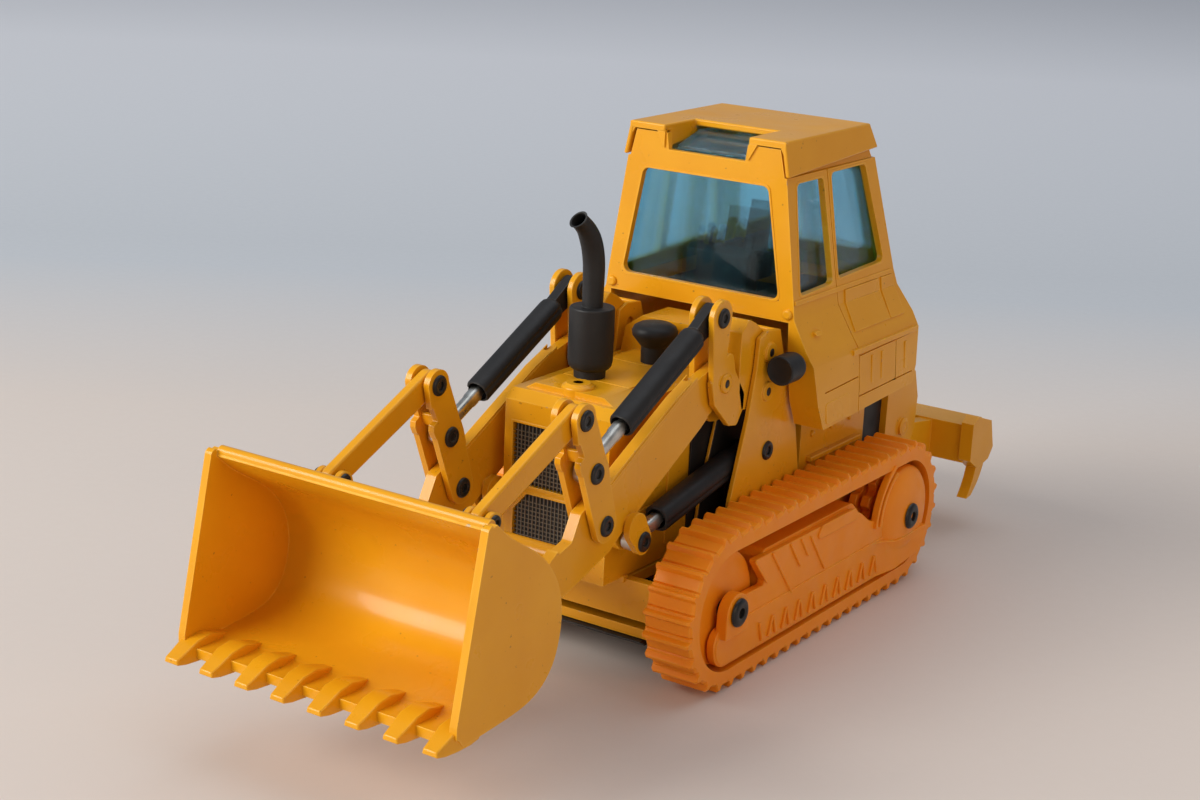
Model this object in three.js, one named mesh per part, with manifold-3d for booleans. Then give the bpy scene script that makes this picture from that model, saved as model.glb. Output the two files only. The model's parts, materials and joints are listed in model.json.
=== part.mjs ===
// Toy crawler loader with a rear ripper, a 1:50 die-cast model.
// Millimetres, +Z up, the bucket points to -Y and the machine's left side is +X.
// The ground is z = 0, and the finished group is centred on the length of the machine.
import * as THREE from 'three';
import { mergeVertices } from 'three/addons/utils/BufferGeometryUtils.js';
import Module from 'manifold-3d';

const wasm = await Module();
wasm.setup();

// ---------------------------------------------------------------- driving dimensions

const SIDES = { left: 1, right: -1 };

// Pivots of the loader linkage in the side plane, as [y, z].
const ARM_PIVOT = [2.8, 40.1];
const TILT_BASE = [1.1, 49.7];
const LIFT_BASE = [14.3, 27.9];
const LIFT_END = [-16.3, 22.2];
const CRANK_PIVOT = [-25.6, 26.9];
const TILT_END = [-28.4, 34.7];
const LINK_TOP = [-31.3, 42.4];
const BUCKET_PIVOT = [-44.3, 18.4];
// The link and the bucket ear make a parallelogram with the crank.
const LINK_FRONT = [
  BUCKET_PIVOT[0] + LINK_TOP[0] - CRANK_PIVOT[0],
  BUCKET_PIVOT[1] + LINK_TOP[1] - CRANK_PIVOT[1],
];
const TOWER_RIVETS = [[13.3, 42.7], [13.1, 37.0]];
const RIPPER_PIVOT = [60.0, 21.0];

// Sideways layers of the linkage. A tongue runs between two cheek plates.
const TONGUE = [10.9, 12.5];
const INNER_CHEEK = [9.7, 10.6];
const OUTER_CHEEK = [12.8, 13.7];
const CHEEKS = [INNER_CHEEK[0], OUTER_CHEEK[1]];
const LINKAGE_X = (TONGUE[0] + TONGUE[1]) / 2;
const TOWER_INNER = [9.15, 9.65];
const TOWER_OUTER = [13.85, 14.55];
const TOWER_SPAN = [TOWER_INNER[0], TOWER_OUTER[1]];

const PIN_RADIUS = 0.8;
const PIN_HOLE = 1.0;
const RIVET_HEAD = 1.45;
const RIVET_HEAD_THICK = 0.35;
const TILT_RADIUS = 1.65;
const LIFT_RADIUS = 1.9;
const BARREL_BORE = 1.45;
const BARREL_FLOOR = 6.4;
const ROD_RADIUS = 0.85;
const EYE_RADIUS = 1.75;
const BARREL_START = 4.7;
const TILT_BARREL = 24.0;
const TILT_ROD = 18.6;
const LIFT_BARREL = 23.6;
const LIFT_ROD = 19.2;
// The tilt barrels are slotted near the mouth, where the rods lean a little as the arms lift.
const TILT_SLOT = 11.5;
const SLOT_HALF = 1.15;

// Undercarriage.
const AXLE_Z = 11.6;
const IDLER_Y = -6.5;
const SPROCKET_Y = 46.0;
const AXLE_RADIUS = 1.3;
const AXLE_HOLE = 1.5;
const AXLE_END = 24.0;
const BELT_X = [15.0, 22.4];
const BELT_INNER = 8.6;
const BELT_PLATE = 10.7;
const BELT_OUTER = AXLE_Z;
const SHOES = 54;
const WHEEL_X = [16.0, 20.6];
const WHEEL_RADIUS = 8.2;

// Body.
const HOOD_HALF = 8.6;
const HOOD_FRONT = -17.9;
const HOOD_BACK = 16.4;
const HOOD_BASE = 15.0;
const HOOD_TOP = 39.4;
const SHELL = 0.9;
const PANE_FIT = 0.96;
const CHASSIS_HALF = 14.4;
const CHASSIS_Y = [-13.0, 50.0];
const CHASSIS_Z = [6.0, 14.8];
const ROOF_TOP = 72.0;
// The engine deck under the cab, a step up from the chassis tub.
const PEDESTAL_HALF = 13.2;
const PEDESTAL_Y = [27.0, 47.6];
const PEDESTAL_TOP = 33.0;

const BUCKET_HALF = 21.8;
const BUCKET_SKIN = 1.2;
const TEETH = 8;
const TOOTH_TIP = -69.8;
const TOOTH_SPAN = 40.4;
const TOOTH_HALF = 1.45;
const CHEEK_THICK = 1.1;
const RIPPER_REAR = 84.2;
const RIPPER_HALF = 20.0;

const ROUND = 12;
const PIN_SIDES = 8;

// ---------------------------------------------------------------- materials

const finish = (color, roughness, metalness = 0) => (
  new THREE.MeshStandardMaterial({ color, roughness, metalness })
);
const yellow = finish(0xe2a020, 0.38);
const orange = finish(0xd98410, 0.5);
const black = finish(0x242426, 0.5);
const bright = finish(0xb8b8b4, 0.25, 1);
const tinted = new THREE.MeshStandardMaterial({
  color: 0x5f9bb4, roughness: 0.1, transparent: true, opacity: 0.5,
});

// ---------------------------------------------------------------- making solids

// The side plane maps a shape's x and y to Y and Z, and its depth to X.
const SIDE_PLANE = new THREE.Matrix4().makeBasis(
  new THREE.Vector3(0, 1, 0), new THREE.Vector3(0, 0, 1), new THREE.Vector3(1, 0, 0));
// The front plane maps a shape's x and y to X and Z, and its depth to -Y.
const FRONT_PLANE = new THREE.Matrix4().makeBasis(
  new THREE.Vector3(1, 0, 0), new THREE.Vector3(0, 0, 1), new THREE.Vector3(0, -1, 0));

function toSolid(geometry) {
  const bare = geometry.clone();
  bare.deleteAttribute('normal');
  bare.deleteAttribute('uv');
  const merged = mergeVertices(bare, 1e-5);
  const index = merged.index.array;
  const kept = [];
  for (let i = 0; i < index.length; i += 3) {
    const [a, b, c] = [index[i], index[i + 1], index[i + 2]];
    if (a !== b && b !== c && c !== a) kept.push(a, b, c);
  }
  return new wasm.Manifold(new wasm.Mesh({
    numProp: 3,
    vertProperties: merged.attributes.position.array,
    triVerts: new Uint32Array(kept),
  }));
}

const join = (...solids) => solids.reduce((whole, next) => whole.add(next));
const cut = (whole, ...tools) => tools.reduce((rest, tool) => rest.subtract(tool), whole);

const shapeOf = (points) => new THREE.Shape(points.map(([a, b]) => new THREE.Vector2(a, b)));

// A flat plate in the side plane, between two distances from the middle of the machine.
function sidePlate(outline, [near, far], side = 1, curveSegments = 4) {
  const shape = outline instanceof THREE.Shape ? outline : shapeOf(outline);
  const geometry = new THREE.ExtrudeGeometry(
    shape, { depth: far - near, bevelEnabled: false, curveSegments });
  geometry.applyMatrix4(SIDE_PLANE);
  geometry.translate(side > 0 ? near : -far, 0, 0);
  return toSolid(geometry);
}

// A flat plate in the front plane, from y0 back to y1.
function frontPlate(outline, [y0, y1]) {
  const geometry = new THREE.ExtrudeGeometry(
    shapeOf(outline), { depth: y1 - y0, bevelEnabled: false });
  geometry.applyMatrix4(FRONT_PLANE);
  geometry.translate(0, y1, 0);
  return toSolid(geometry);
}

function box([x0, x1], [y0, y1], [z0, z1]) {
  const geometry = new THREE.BoxGeometry(x1 - x0, y1 - y0, z1 - z0);
  geometry.translate((x0 + x1) / 2, (y0 + y1) / 2, (z0 + z1) / 2);
  return toSolid(geometry);
}

const sideBox = ([near, far], ys, zs, side) => (
  side > 0 ? box([near, far], ys, zs) : box([-far, -near], ys, zs)
);

// A round disc or shaft whose axis runs along X, from near to far on one side.
function crossRound([y, z], radius, [near, far], side = 1, steps = ROUND) {
  const geometry = new THREE.CylinderGeometry(radius, radius, far - near, steps);
  geometry.rotateZ(Math.PI / 2);
  geometry.translate(side * (near + far) / 2, y, z);
  return toSolid(geometry);
}

// A turned shape about the Y axis from a profile of [radius, distance] points.
function turned(profile, steps) {
  const points = profile.map(([r, d]) => new THREE.Vector2(r, d));
  if (THREE.ShapeUtils.isClockWise(points)) points.reverse();
  return new THREE.LatheGeometry(points, steps);
}

// A turned solid whose profile runs along X, outward on the given side.
function crossTurned([y, z], profile, side = 1, steps = ROUND) {
  const geometry = turned(profile, steps);
  geometry.rotateZ(side > 0 ? -Math.PI / 2 : Math.PI / 2);
  geometry.translate(0, y, z);
  return toSolid(geometry);
}

// A turned solid along the line from one side-plane point towards another, at distance x.
function aimedTurned([y0, z0], [y1, z1], x, profile, steps = ROUND) {
  const geometry = turned(profile, steps);
  const along = new THREE.Vector3(0, y1 - y0, z1 - z0).normalize();
  geometry.applyQuaternion(
    new THREE.Quaternion().setFromUnitVectors(new THREE.Vector3(0, 1, 0), along));
  geometry.translate(x, y0, z0);
  return toSolid(geometry);
}

// A turned solid standing on the vertical line through x, y.
function uprightTurned(x, y, profile, steps = ROUND) {
  const geometry = turned(profile, steps);
  geometry.rotateX(Math.PI / 2);
  geometry.translate(x, y, 0);
  return toSolid(geometry);
}

// The outline around two discs: two arcs and their outer tangents.
function strapOutline([y0, z0], r0, [y1, z1], r1) {
  const heading = Math.atan2(z1 - z0, y1 - y0);
  const lean = Math.acos((r0 - r1) / Math.hypot(y1 - y0, z1 - z0));
  const shape = new THREE.Shape();
  shape.absarc(y0, z0, r0, heading + lean, heading - lean + 2 * Math.PI, false);
  shape.absarc(y1, z1, r1, heading - lean, heading + lean, false);
  return shape;
}

const strap = (a, ra, b, rb, layer, side) => sidePlate(strapOutline(a, ra, b, rb), layer, side);
const pinHole = (at, side) => crossRound(at, PIN_HOLE, [5, 26], side, PIN_SIDES);

// A solid through a stack of rectangles, each given as {z, half, front, rear}.
function stack(levels) {
  const corners = levels.flatMap(({ z, half, front, rear }) => [
    [-half, front, z], [half, front, z], [half, rear, z], [-half, rear, z],
  ]);
  const faces = [0, 2, 1, 0, 3, 2];
  for (let level = 0; level + 1 < levels.length; level += 1) {
    for (let corner = 0; corner < 4; corner += 1) {
      const a = level * 4 + corner;
      const b = level * 4 + (corner + 1) % 4;
      faces.push(a, b, b + 4, a, b + 4, a + 4);
    }
  }
  const top = (levels.length - 1) * 4;
  faces.push(top, top + 1, top + 2, top, top + 2, top + 3);
  const geometry = new THREE.BufferGeometry();
  geometry.setAttribute('position', new THREE.Float32BufferAttribute(corners.flat(), 3));
  geometry.setIndex(faces);
  return toSolid(geometry);
}

// A named mesh whose own origin is its anchor, usually its pivot.
function part(name, solid, material, anchor = [0, 0, 0]) {
  const { vertProperties, triVerts } = solid.getMesh();
  const geometry = new THREE.BufferGeometry();
  geometry.setAttribute('position', new THREE.BufferAttribute(vertProperties.slice(), 3));
  geometry.setIndex(new THREE.BufferAttribute(triVerts.slice(), 1));
  geometry.translate(-anchor[0], -anchor[1], -anchor[2]);
  geometry.computeVertexNormals();
  const mesh = new THREE.Mesh(geometry, material);
  mesh.name = name;
  mesh.position.set(...anchor);
  return mesh;
}

function assembly(...members) {
  const group = new THREE.Group();
  group.add(...members);
  return group;
}

const anchorAt = ([y, z], side) => [side * LINKAGE_X, y, z];

// A rivet: a shaft with a flat head outside each cheek.
function rivet(at, [near, far], side) {
  const inner = near - 0.05;
  const outer = far + 0.05;
  return crossTurned(at, [
    [0, inner - RIVET_HEAD_THICK], [RIVET_HEAD, inner - RIVET_HEAD_THICK],
    [RIVET_HEAD, inner], [PIN_RADIUS, inner], [PIN_RADIUS, outer], [RIVET_HEAD, outer],
    [RIVET_HEAD, outer + RIVET_HEAD_THICK], [0, outer + RIVET_HEAD_THICK],
  ], side, PIN_SIDES);
}

// ---------------------------------------------------------------- undercarriage

// A point on the closed path around both wheels, at a radius from the wheel centres.
function beltPoint(fraction, radius) {
  const run = SPROCKET_Y - IDLER_Y;
  const bend = Math.PI * BELT_PLATE;
  let travel = (fraction % 1) * 2 * (run + bend);
  if (travel < run) return [IDLER_Y + travel, AXLE_Z - radius];
  travel -= run;
  if (travel < bend) {
    const angle = -Math.PI / 2 + travel / BELT_PLATE;
    return [SPROCKET_Y + radius * Math.cos(angle), AXLE_Z + radius * Math.sin(angle)];
  }
  travel -= bend;
  if (travel < run) return [SPROCKET_Y - travel, AXLE_Z + radius];
  const angle = Math.PI / 2 + (travel - run) / BELT_PLATE;
  return [IDLER_Y + radius * Math.cos(angle), AXLE_Z + radius * Math.sin(angle)];
}

function trackBelt(side) {
  const outline = [];
  const grouser = [[0.12, BELT_PLATE], [0.2, BELT_OUTER], [0.42, BELT_OUTER], [0.5, BELT_PLATE]];
  for (let shoe = 0; shoe < SHOES; shoe += 1) {
    grouser.forEach(([step, radius]) => outline.push(beltPoint((shoe + step) / SHOES, radius)));
  }
  const shape = shapeOf(outline);
  const inside = new THREE.Path();
  inside.absarc(SPROCKET_Y, AXLE_Z, BELT_INNER, -Math.PI / 2, Math.PI / 2, false);
  inside.absarc(IDLER_Y, AXLE_Z, BELT_INNER, Math.PI / 2, 3 * Math.PI / 2, false);
  shape.holes.push(inside);
  return sidePlate(shape, BELT_X, side, 8);
}

function trackFrame(side) {
  const skirt = sidePlate([
    [-10.6, 9.5], [-9.9, 6.4], [-8.2, 4.5], [-5.4, 3.7], [44, 3.7], [49.5, 4.9], [52.6, 8.0],
    [53.2, 11.6], [38.5, 12.4], [34.2, 13.6], [31.2, 15.4], [28.4, 16.9], [-0.8, 17.0],
    [2.8, 12.9], [-2.6, 12.9], [-5.2, 13.6], [-9.4, 12.6],
  ], [21.0, 22.2], side);
  const recoilHousing = sidePlate([
    [2.6, 4.2], [36.6, 4.2], [36.6, 11.6], [29.6, 17.6], [3.4, 17.6], [2.6, 16.4],
  ], [15.8, 21.2], side);
  const frontBoss = crossRound([IDLER_Y, AXLE_Z - 0.4], 3.0, [21.4, 23.3], side);
  const rearDome = crossTurned([SPROCKET_Y, AXLE_Z], [
    [0, 21.0], [7.6, 21.0], [7.6, 21.9], [6.6, 22.7], [4.6, 23.3], [2.4, 23.5], [0, 23.5],
  ], side, 20);
  const hubHoles = [IDLER_Y, SPROCKET_Y].map((y) => (
    crossRound([y, AXLE_Z], AXLE_HOLE, [20, 25], side)));
  return cut(join(skirt, recoilHousing, frontBoss, rearDome), ...hubHoles);
}

function idler(side) {
  const [near, far] = WHEEL_X;
  const wheel = crossTurned([IDLER_Y, AXLE_Z], [
    [0, near], [WHEEL_RADIUS - 1, near], [WHEEL_RADIUS, near + 0.7], [WHEEL_RADIUS, far - 0.7],
    [WHEEL_RADIUS - 1, far], [0, far],
  ], side, 20);
  return cut(wheel, crossRound([IDLER_Y, AXLE_Z], AXLE_HOLE, [15, 22], side));
}

function sprocket(side) {
  const teeth = 13;
  const outline = [];
  for (let tooth = 0; tooth < teeth; tooth += 1) {
    [[0, 7.2], [0.3, 7.2], [0.42, WHEEL_RADIUS], [0.88, WHEEL_RADIUS]].forEach(([step, radius]) => {
      const angle = (tooth + step) * 2 * Math.PI / teeth;
      outline.push([SPROCKET_Y + radius * Math.cos(angle), AXLE_Z + radius * Math.sin(angle)]);
    });
  }
  const hub = crossRound([SPROCKET_Y, AXLE_Z], 4.4, WHEEL_X, side);
  const bore = crossRound([SPROCKET_Y, AXLE_Z], AXLE_HOLE, [15, 22], side);
  return cut(join(sidePlate(outline, [17.0, 19.6], side), hub), bore);
}

function axle(y) {
  const head = [2.0, AXLE_END - 0.45];
  const profile = [
    [0, -AXLE_END + 0.35], [0.9, -AXLE_END + 0.35], [0.9, -AXLE_END], [head[0], -AXLE_END],
    [head[0], -head[1]], [AXLE_RADIUS, -head[1]],
    [AXLE_RADIUS, head[1]], [head[0], head[1]],
    [head[0], AXLE_END], [0.9, AXLE_END], [0.9, AXLE_END - 0.35], [0, AXLE_END - 0.35],
  ];
  return crossTurned([y, AXLE_Z], profile, 1);
}

// ---------------------------------------------------------------- chassis

function chassisFrame() {
  const tub = box([-CHASSIS_HALF, CHASSIS_HALF], CHASSIS_Y, CHASSIS_Z);
  const hollow = box([-12.6, 12.6], [-11.4, 48.4], [7.4, 20]);
  const frontRake = box([-20, 20], [-14, -11.4], [5, 9.2]);
  const axleHoles = [IDLER_Y, SPROCKET_Y].map((y) => (
    crossRound([y, AXLE_Z], AXLE_HOLE, [-20, 20], 1)));
  const hoodSills = [1, -1].map((side) => (
    sideBox([7.4, 8.9], [-11.6, HOOD_BACK], [13.2, 14.8], side)));
  const crossMembers = [[4.0, 7.0], [20.0, 23.0], [34.0, 37.0]].map((ys) => (
    box([-13, 13], ys, [12.2, 14.8])));
  const cabPedestal = box([-PEDESTAL_HALF, PEDESTAL_HALF], PEDESTAL_Y, [CHASSIS_Z[1] - 0.4, PEDESTAL_TOP]);
  const pedestalHollow = box([-PEDESTAL_HALF + 1.2, PEDESTAL_HALF - 1.2],
    [PEDESTAL_Y[0] + 1.2, PEDESTAL_Y[1] - 1.2], [CHASSIS_Z[1] - 1, PEDESTAL_TOP - 1.2]);
  return join(
    cut(tub, hollow, frontRake, ...axleHoles), ...hoodSills, ...crossMembers,
    cut(cabPedestal, pedestalHollow),
  );
}

function bellyPlate() {
  const plate = sidePlate([[-11.0, 4.9], [48.0, 4.9], [49.4, 5.9], [-12.4, 5.9]], [-11.5, 11.5]);
  const screwWells = [-4, 40].map((y) => (
    uprightTurned(0, y, [[0, 4], [1.4, 4], [1.4, 5.3], [0, 5.3]])));
  return cut(plate, ...screwWells);
}

function ripperBracket() {
  const cheek = [
    [50.3, 8.0], [56.5, 9.0], [61.5, 15.0], [64.8, 19.6], [65.2, 25.0], [63.6, 29.6], [61.0, 31.4],
    [55.4, 31.4], [54.2, 29.4], [54.0, 19.6], [50.3, 17.0],
  ];
  const plates = [1, -1].map((side) => sidePlate(cheek, [12.4, 14.0], side));
  const rearWall = box([-12.6, 12.6], [50.3, 51.9], [8.0, 26.4]);
  const shelf = box([-12.6, 12.6], [50.3, 56.0], [25.0, 26.4]);
  const pin = crossTurned(RIPPER_PIVOT, [
    [0, -14.5], [1.5, -14.5], [1.5, -13.9], [PIN_RADIUS, -13.9],
    [PIN_RADIUS, 13.9], [1.5, 13.9], [1.5, 14.5], [0, 14.5],
  ], 1);
  return join(rearWall, shelf, ...plates, pin);
}

function ripper() {
  const beamX = [-18.2, 18.2];
  const beam = box(beamX, [76.0, 82.6], [11.8, 18.4]);
  const ends = [1, -1].map((side) => sidePlate([
    [75.2, 12.6], [78.4, 10.6], [82.6, 11.4], [RIPPER_REAR, 13.2], [82.6, 18.2], [77.0, 20.0],
    [75.2, 19.0],
  ], [17.8, RIPPER_HALF], side));
  const arms = [1, -1].map((side) => sidePlate([
    [58.0, 19.6], [60.0, 18.6], [66.0, 14.2], [76.6, 12.4], [76.6, 18.0], [68.0, 19.4],
    [61.4, 22.9], [59.0, 22.9], [58.0, 22.0],
  ], [9.6, 12.0], side));
  const shankOutline = new THREE.Shape();
  shankOutline.moveTo(78.2, 14.0);
  shankOutline.lineTo(78.2, 12.2);
  shankOutline.quadraticCurveTo(78.0, 9.2, 75.2, 6.0);
  shankOutline.lineTo(76.9, 6.2);
  shankOutline.quadraticCurveTo(80.7, 8.7, 81.4, 12.4);
  shankOutline.lineTo(81.4, 14.0);
  const shanks = [-19.0, 0, 19.0].map((x) => sidePlate(shankOutline, [x - 0.9, x + 0.9]));
  const hole = crossRound(RIPPER_PIVOT, PIN_HOLE, [-20, 20], 1);
  return cut(join(beam, ...ends, ...arms, ...shanks), hole);
}

// ---------------------------------------------------------------- hood

const GRILLE_WINDOWS = [
  [[-7.2, 26.4], [7.2, 26.4], [7.2, 35.0], [-7.2, 35.0]],
  [[-6.8, 17.8], [6.8, 17.8], [6.8, 22.6], [4.6, 25.2], [-4.6, 25.2], [-6.8, 22.6]],
];

function engineHood() {
  const outline = [
    [HOOD_FRONT, HOOD_BASE], [HOOD_BACK, HOOD_BASE], [HOOD_BACK, HOOD_TOP],
    [HOOD_FRONT + 1.6, HOOD_TOP], [HOOD_FRONT, HOOD_TOP - 1.3],
  ];
  const skin = sidePlate(outline, [-HOOD_HALF, HOOD_HALF]);
  const crown = frontPlate([
    [-HOOD_HALF + 0.6, HOOD_TOP - 0.5], [HOOD_HALF - 0.6, HOOD_TOP - 0.5], [5.6, HOOD_TOP + 0.9],
    [-5.6, HOOD_TOP + 0.9],
  ], [HOOD_FRONT + 2.6, HOOD_BACK]);
  const cowl = frontPlate([
    [-8.2, HOOD_TOP - 0.5], [8.2, HOOD_TOP - 0.5], [7.4, 43.4], [4.6, 45.4], [-4.6, 45.4],
    [-7.4, 43.4],
  ], [9.4, HOOD_BACK]);
  const radiatorCap = uprightTurned(0, -13.2, [
    [0, 39], [2.1, 39], [2.1, 40.6], [1.7, 41.0], [0, 41.0],
  ]);
  const hollow = box([-HOOD_HALF + SHELL, HOOD_HALF - SHELL], [HOOD_FRONT + SHELL, HOOD_BACK - 0.8],
    [HOOD_BASE - 1, HOOD_TOP - 1.2]);
  const openings = GRILLE_WINDOWS.map((edge) => frontPlate(edge, [HOOD_FRONT - 1, HOOD_FRONT + 2]));
  return cut(join(skin, crown, cowl, radiatorCap), hollow, ...openings);
}

// A black sheet behind the hood's nose, with a raised pane in each opening.
function grilleInsert() {
  const sheetHalf = HOOD_HALF - SHELL - 0.15;
  const back = HOOD_FRONT + SHELL;
  const sheet = box([-sheetHalf, sheetHalf], [back + 0.1, back + 0.7], [16.6, 36.0]);
  const panes = GRILLE_WINDOWS.map((edge) => {
    const middle = (edge[0][1] + edge[2][1]) / 2;
    const inset = edge.map(([x, z]) => [x * PANE_FIT, middle + (z - middle) * PANE_FIT]);
    return frontPlate(inset, [HOOD_FRONT + 0.45, back + 0.3]);
  });
  return join(sheet, ...panes);
}

function exhaust() {
  const [x, y] = [-2.0, -7.6];
  const muffler = uprightTurned(x, y, [
    [0, 40.4], [2.0, 40.4], [2.0, 41.6], [3.2, 42.4], [3.25, 49.6], [3.0, 50.3], [0, 50.3],
  ]);
  const route = new THREE.CatmullRomCurve3([
    new THREE.Vector3(x, y, 50.0),
    new THREE.Vector3(x, y, 54.0),
    new THREE.Vector3(x, y - 0.3, 57.8),
    new THREE.Vector3(x, y - 1.7, 60.8),
    new THREE.Vector3(x, y - 4.6, 63.4),
  ]);
  const section = new THREE.Shape();
  section.absarc(0, 0, 1.45, 0, 2 * Math.PI, false);
  const stackPipe = toSolid(new THREE.ExtrudeGeometry(
    section, { extrudePath: route, steps: 7, curveSegments: 5 }));
  const tip = route.getPointAt(1);
  const heading = route.getTangentAt(1);
  const from = [tip.y - heading.y * 1.8, tip.z - heading.z * 1.8];
  const bore = aimedTurned(from, [tip.y + heading.y, tip.z + heading.z], x,
    [[0, 0], [1.05, 0], [1.05, 4], [0, 4]], 10);
  return cut(join(muffler, stackPipe), bore);
}

const precleaner = () => uprightTurned(0.4, 5.0, [
  [0, 40.4], [1.5, 40.4], [1.5, 43.0], [3.1, 43.4], [3.3, 44.4], [2.6, 45.5], [1.2, 46.0],
  [0, 46.0],
]);

// ---------------------------------------------------------------- cab

const CAB_LEVELS = [
  { z: 30.6, half: 20.0, front: 20.8, rear: 49.2 },
  { z: 34.5, half: 19.9, front: 18.9, rear: 50.6 },
  { z: 40.4, half: 19.5, front: 17.5, rear: 51.2 },
  { z: 42.6, half: 18.2, front: 17.2, rear: 51.4 },
  { z: 46.9, half: 16.1, front: 16.9, rear: 49.4 },
  { z: 49.4, half: 15.8, front: 16.9, rear: 48.3 },
  { z: 66.8, half: 13.3, front: 17.0, rear: 43.9 },
  { z: 66.9, half: 12.9, front: 17.0, rear: 43.5 },
  { z: 70.8, half: 12.0, front: 17.0, rear: 42.0 },
];
const CAB_WALL = 1.0;

const shrunk = (levels, wall) => levels.map(({ z, half, front, rear }) => (
  { z, half: half - wall, front: front + wall, rear: rear - wall }));

const FRONT_WINDOW = [[-13.4, 49.3], [13.4, 49.3], [10.5, 65.4], [-10.5, 65.4]];
const REAR_WINDOW = [[-11.6, 51.5], [11.6, 51.5], [10.2, 65.0], [-10.2, 65.0]];
const SIDE_WINDOWS = [
  [[18.8, 49.9], [28.9, 50.2], [27.6, 65.9], [19.6, 65.9]],
  [[30.4, 50.6], [45.2, 51.0], [40.6, 66.3], [29.8, 66.3]],
];
const ROOF_NOTCH = [[-7.0, 73], [-6.4, 68.4], [6.4, 68.4], [7.0, 73]];

function cabBody() {
  const inner = shrunk(CAB_LEVELS, CAB_WALL);
  inner[0].z -= 1;
  const shell = cut(stack(CAB_LEVELS), stack(inner));
  const towerBay = box([-15.2, 15.2], [10, 26.0], [25, 46.4]);
  const windows = [
    frontPlate(FRONT_WINDOW, [10, 20]),
    frontPlate(REAR_WINDOW, [40, 55]),
    ...SIDE_WINDOWS.flatMap((edge) => [1, -1].map((side) => sidePlate(edge, [10, 20], side))),
  ];
  const notch = frontPlate(ROOF_NOTCH, [10, 20]);
  const topOpening = box([-10.9, 10.9], [18.2, 40.6], [65, 72]);
  const risingHem = sidePlate([[19, 29], [53, 29], [53, 31.9], [19, 30.5]], [-21, 21]);
  return cut(shell, towerBay, ...windows, notch, topOpening, risingHem);
}

function cabRoof() {
  const outer = stack([
    { z: 67.0, half: 13.9, front: 16.6, rear: 44.7 },
    { z: ROOF_TOP, half: 12.9, front: 16.6, rear: 42.3 },
  ]);
  const hollow = stack([
    { z: 60.0, half: 14.72, front: 15.0, rear: 47.42 },
    { z: 71.0, half: 12.42, front: 15.0, rear: 42.1 },
  ]);
  const risingEdge = sidePlate([[15, 66], [46, 66], [46, 68.4], [15, 66.9]], [-15, 15]);
  const cap = cut(outer, hollow, risingEdge);
  const notch = frontPlate([[-7.0, 74], [-7.0, 66], [7.0, 66], [7.0, 74]], [10, 25.0]);
  const notchWalls = [1, -1].map((side) => sidePlate(
    [[18.3, 68.6], [25.8, 69.4], [25.8, 71.4], [18.3, 71.4]], [7.0, 7.6], side));
  return cut(join(cap, ...notchWalls), notch);
}

function cabGlazing() {
  const gap = CAB_WALL + 0.15;
  const glassLevels = shrunk([
    { z: 48.2, half: 15.95, front: 16.9, rear: 48.7 },
    { z: 66.6, half: 13.3, front: 17.0, rear: 43.9 },
  ], gap);
  const inner = shrunk(glassLevels, 0.6);
  inner[0].z -= 1;
  inner[1].z -= 0.6;
  const tunnel = sidePlate([
    [18.9, 65.6], [27.2, 65.6], [27.2, 70.6], [24.6, 70.6], [18.9, 68.9],
  ], [-6.1, 6.1]);
  const tunnelHollow = sidePlate([
    [19.5, 64.0], [26.6, 64.0], [26.6, 70.0], [24.7, 70.0], [19.5, 68.4],
  ], [-5.5, 5.5]);
  return cut(join(cut(stack(glassLevels), stack(inner)), tunnel), tunnelHollow);
}

function operatorSeat() {
  const floor = box([-12.4, 12.4], [19.4, 45.6], [45.9, 46.7]);
  const pedestal = box([-2.6, 2.6], [30.0, 35.5], [46.5, 49.2]);
  const cushion = box([-3.6, 3.6], [28.6, 36.6], [49.0, 50.9]);
  const back = sidePlate([[35.0, 50.5], [37.0, 50.5], [38.4, 58.6], [37.0, 59.0]], [-3.4, 3.4]);
  const armrests = [1, -1].map((side) => sideBox([3.6, 4.8], [29.2, 36.4], [49.4, 53.0], side));
  const controlBox = sidePlate([
    [21.6, 46.5], [25.2, 46.5], [24.6, 53.2], [23.2, 54.6], [21.8, 53.6],
  ], [-5.2, 5.2]);
  const levers = [-3.6, -1.6, 3.6].map((x) => sidePlate(
    [[24.0, 52.6], [25.0, 52.6], [26.4, 56.4], [25.6, 56.6]], [x - 0.4, x + 0.4]));
  return join(floor, pedestal, cushion, back, ...armrests, controlBox, ...levers);
}

function lamp(side) {
  const x = side * 17.3;
  const can = turned([
    [0, 0.5], [1.7, 0.5], [1.7, 0], [2.15, 0], [2.15, 4.1], [1.5, 4.7], [0, 4.7],
  ], ROUND);
  can.translate(x, 11.4, 40.8);
  const stalk = sideBox([14.65, 16.0], [13.0, 14.6], [39.1, 40.8], side);
  return join(toSolid(can), stalk);
}

// ---------------------------------------------------------------- loader towers and forks

const TOWER_OUTLINE = [
  [3.4, 15.0], [26.0, 15.0], [24.1, 23.6], [22.4, 30.6], [18.6, 38.6], [16.0, 45.6], [12.4, 46.0],
  [10.3, 45.2], [9.9, 40.8], [8.3, 33.8], [4.7, 22.8],
];

function tower(side) {
  const plates = [TOWER_INNER, TOWER_OUTER].map((layer) => sidePlate(TOWER_OUTLINE, layer, side));
  const rearWeb = sidePlate([
    [18.0, 37.6], [18.6, 38.6], [16.0, 45.6], [15.5, 45.4], [15.9, 42.6],
  ], TOWER_SPAN, side);
  const foot = sideBox(TOWER_SPAN, [5.0, 24.4], [15.0, 16.4], side);
  const holes = [...TOWER_RIVETS, LIFT_BASE].map((at) => pinHole(at, side));
  const rivets = TOWER_RIVETS.map((at) => (
    crossRound(at, RIVET_HEAD, [TOWER_OUTER[0], TOWER_OUTER[1] + RIVET_HEAD_THICK], side)));
  return join(cut(join(...plates, rearWeb, foot), ...holes), ...rivets);
}

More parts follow.
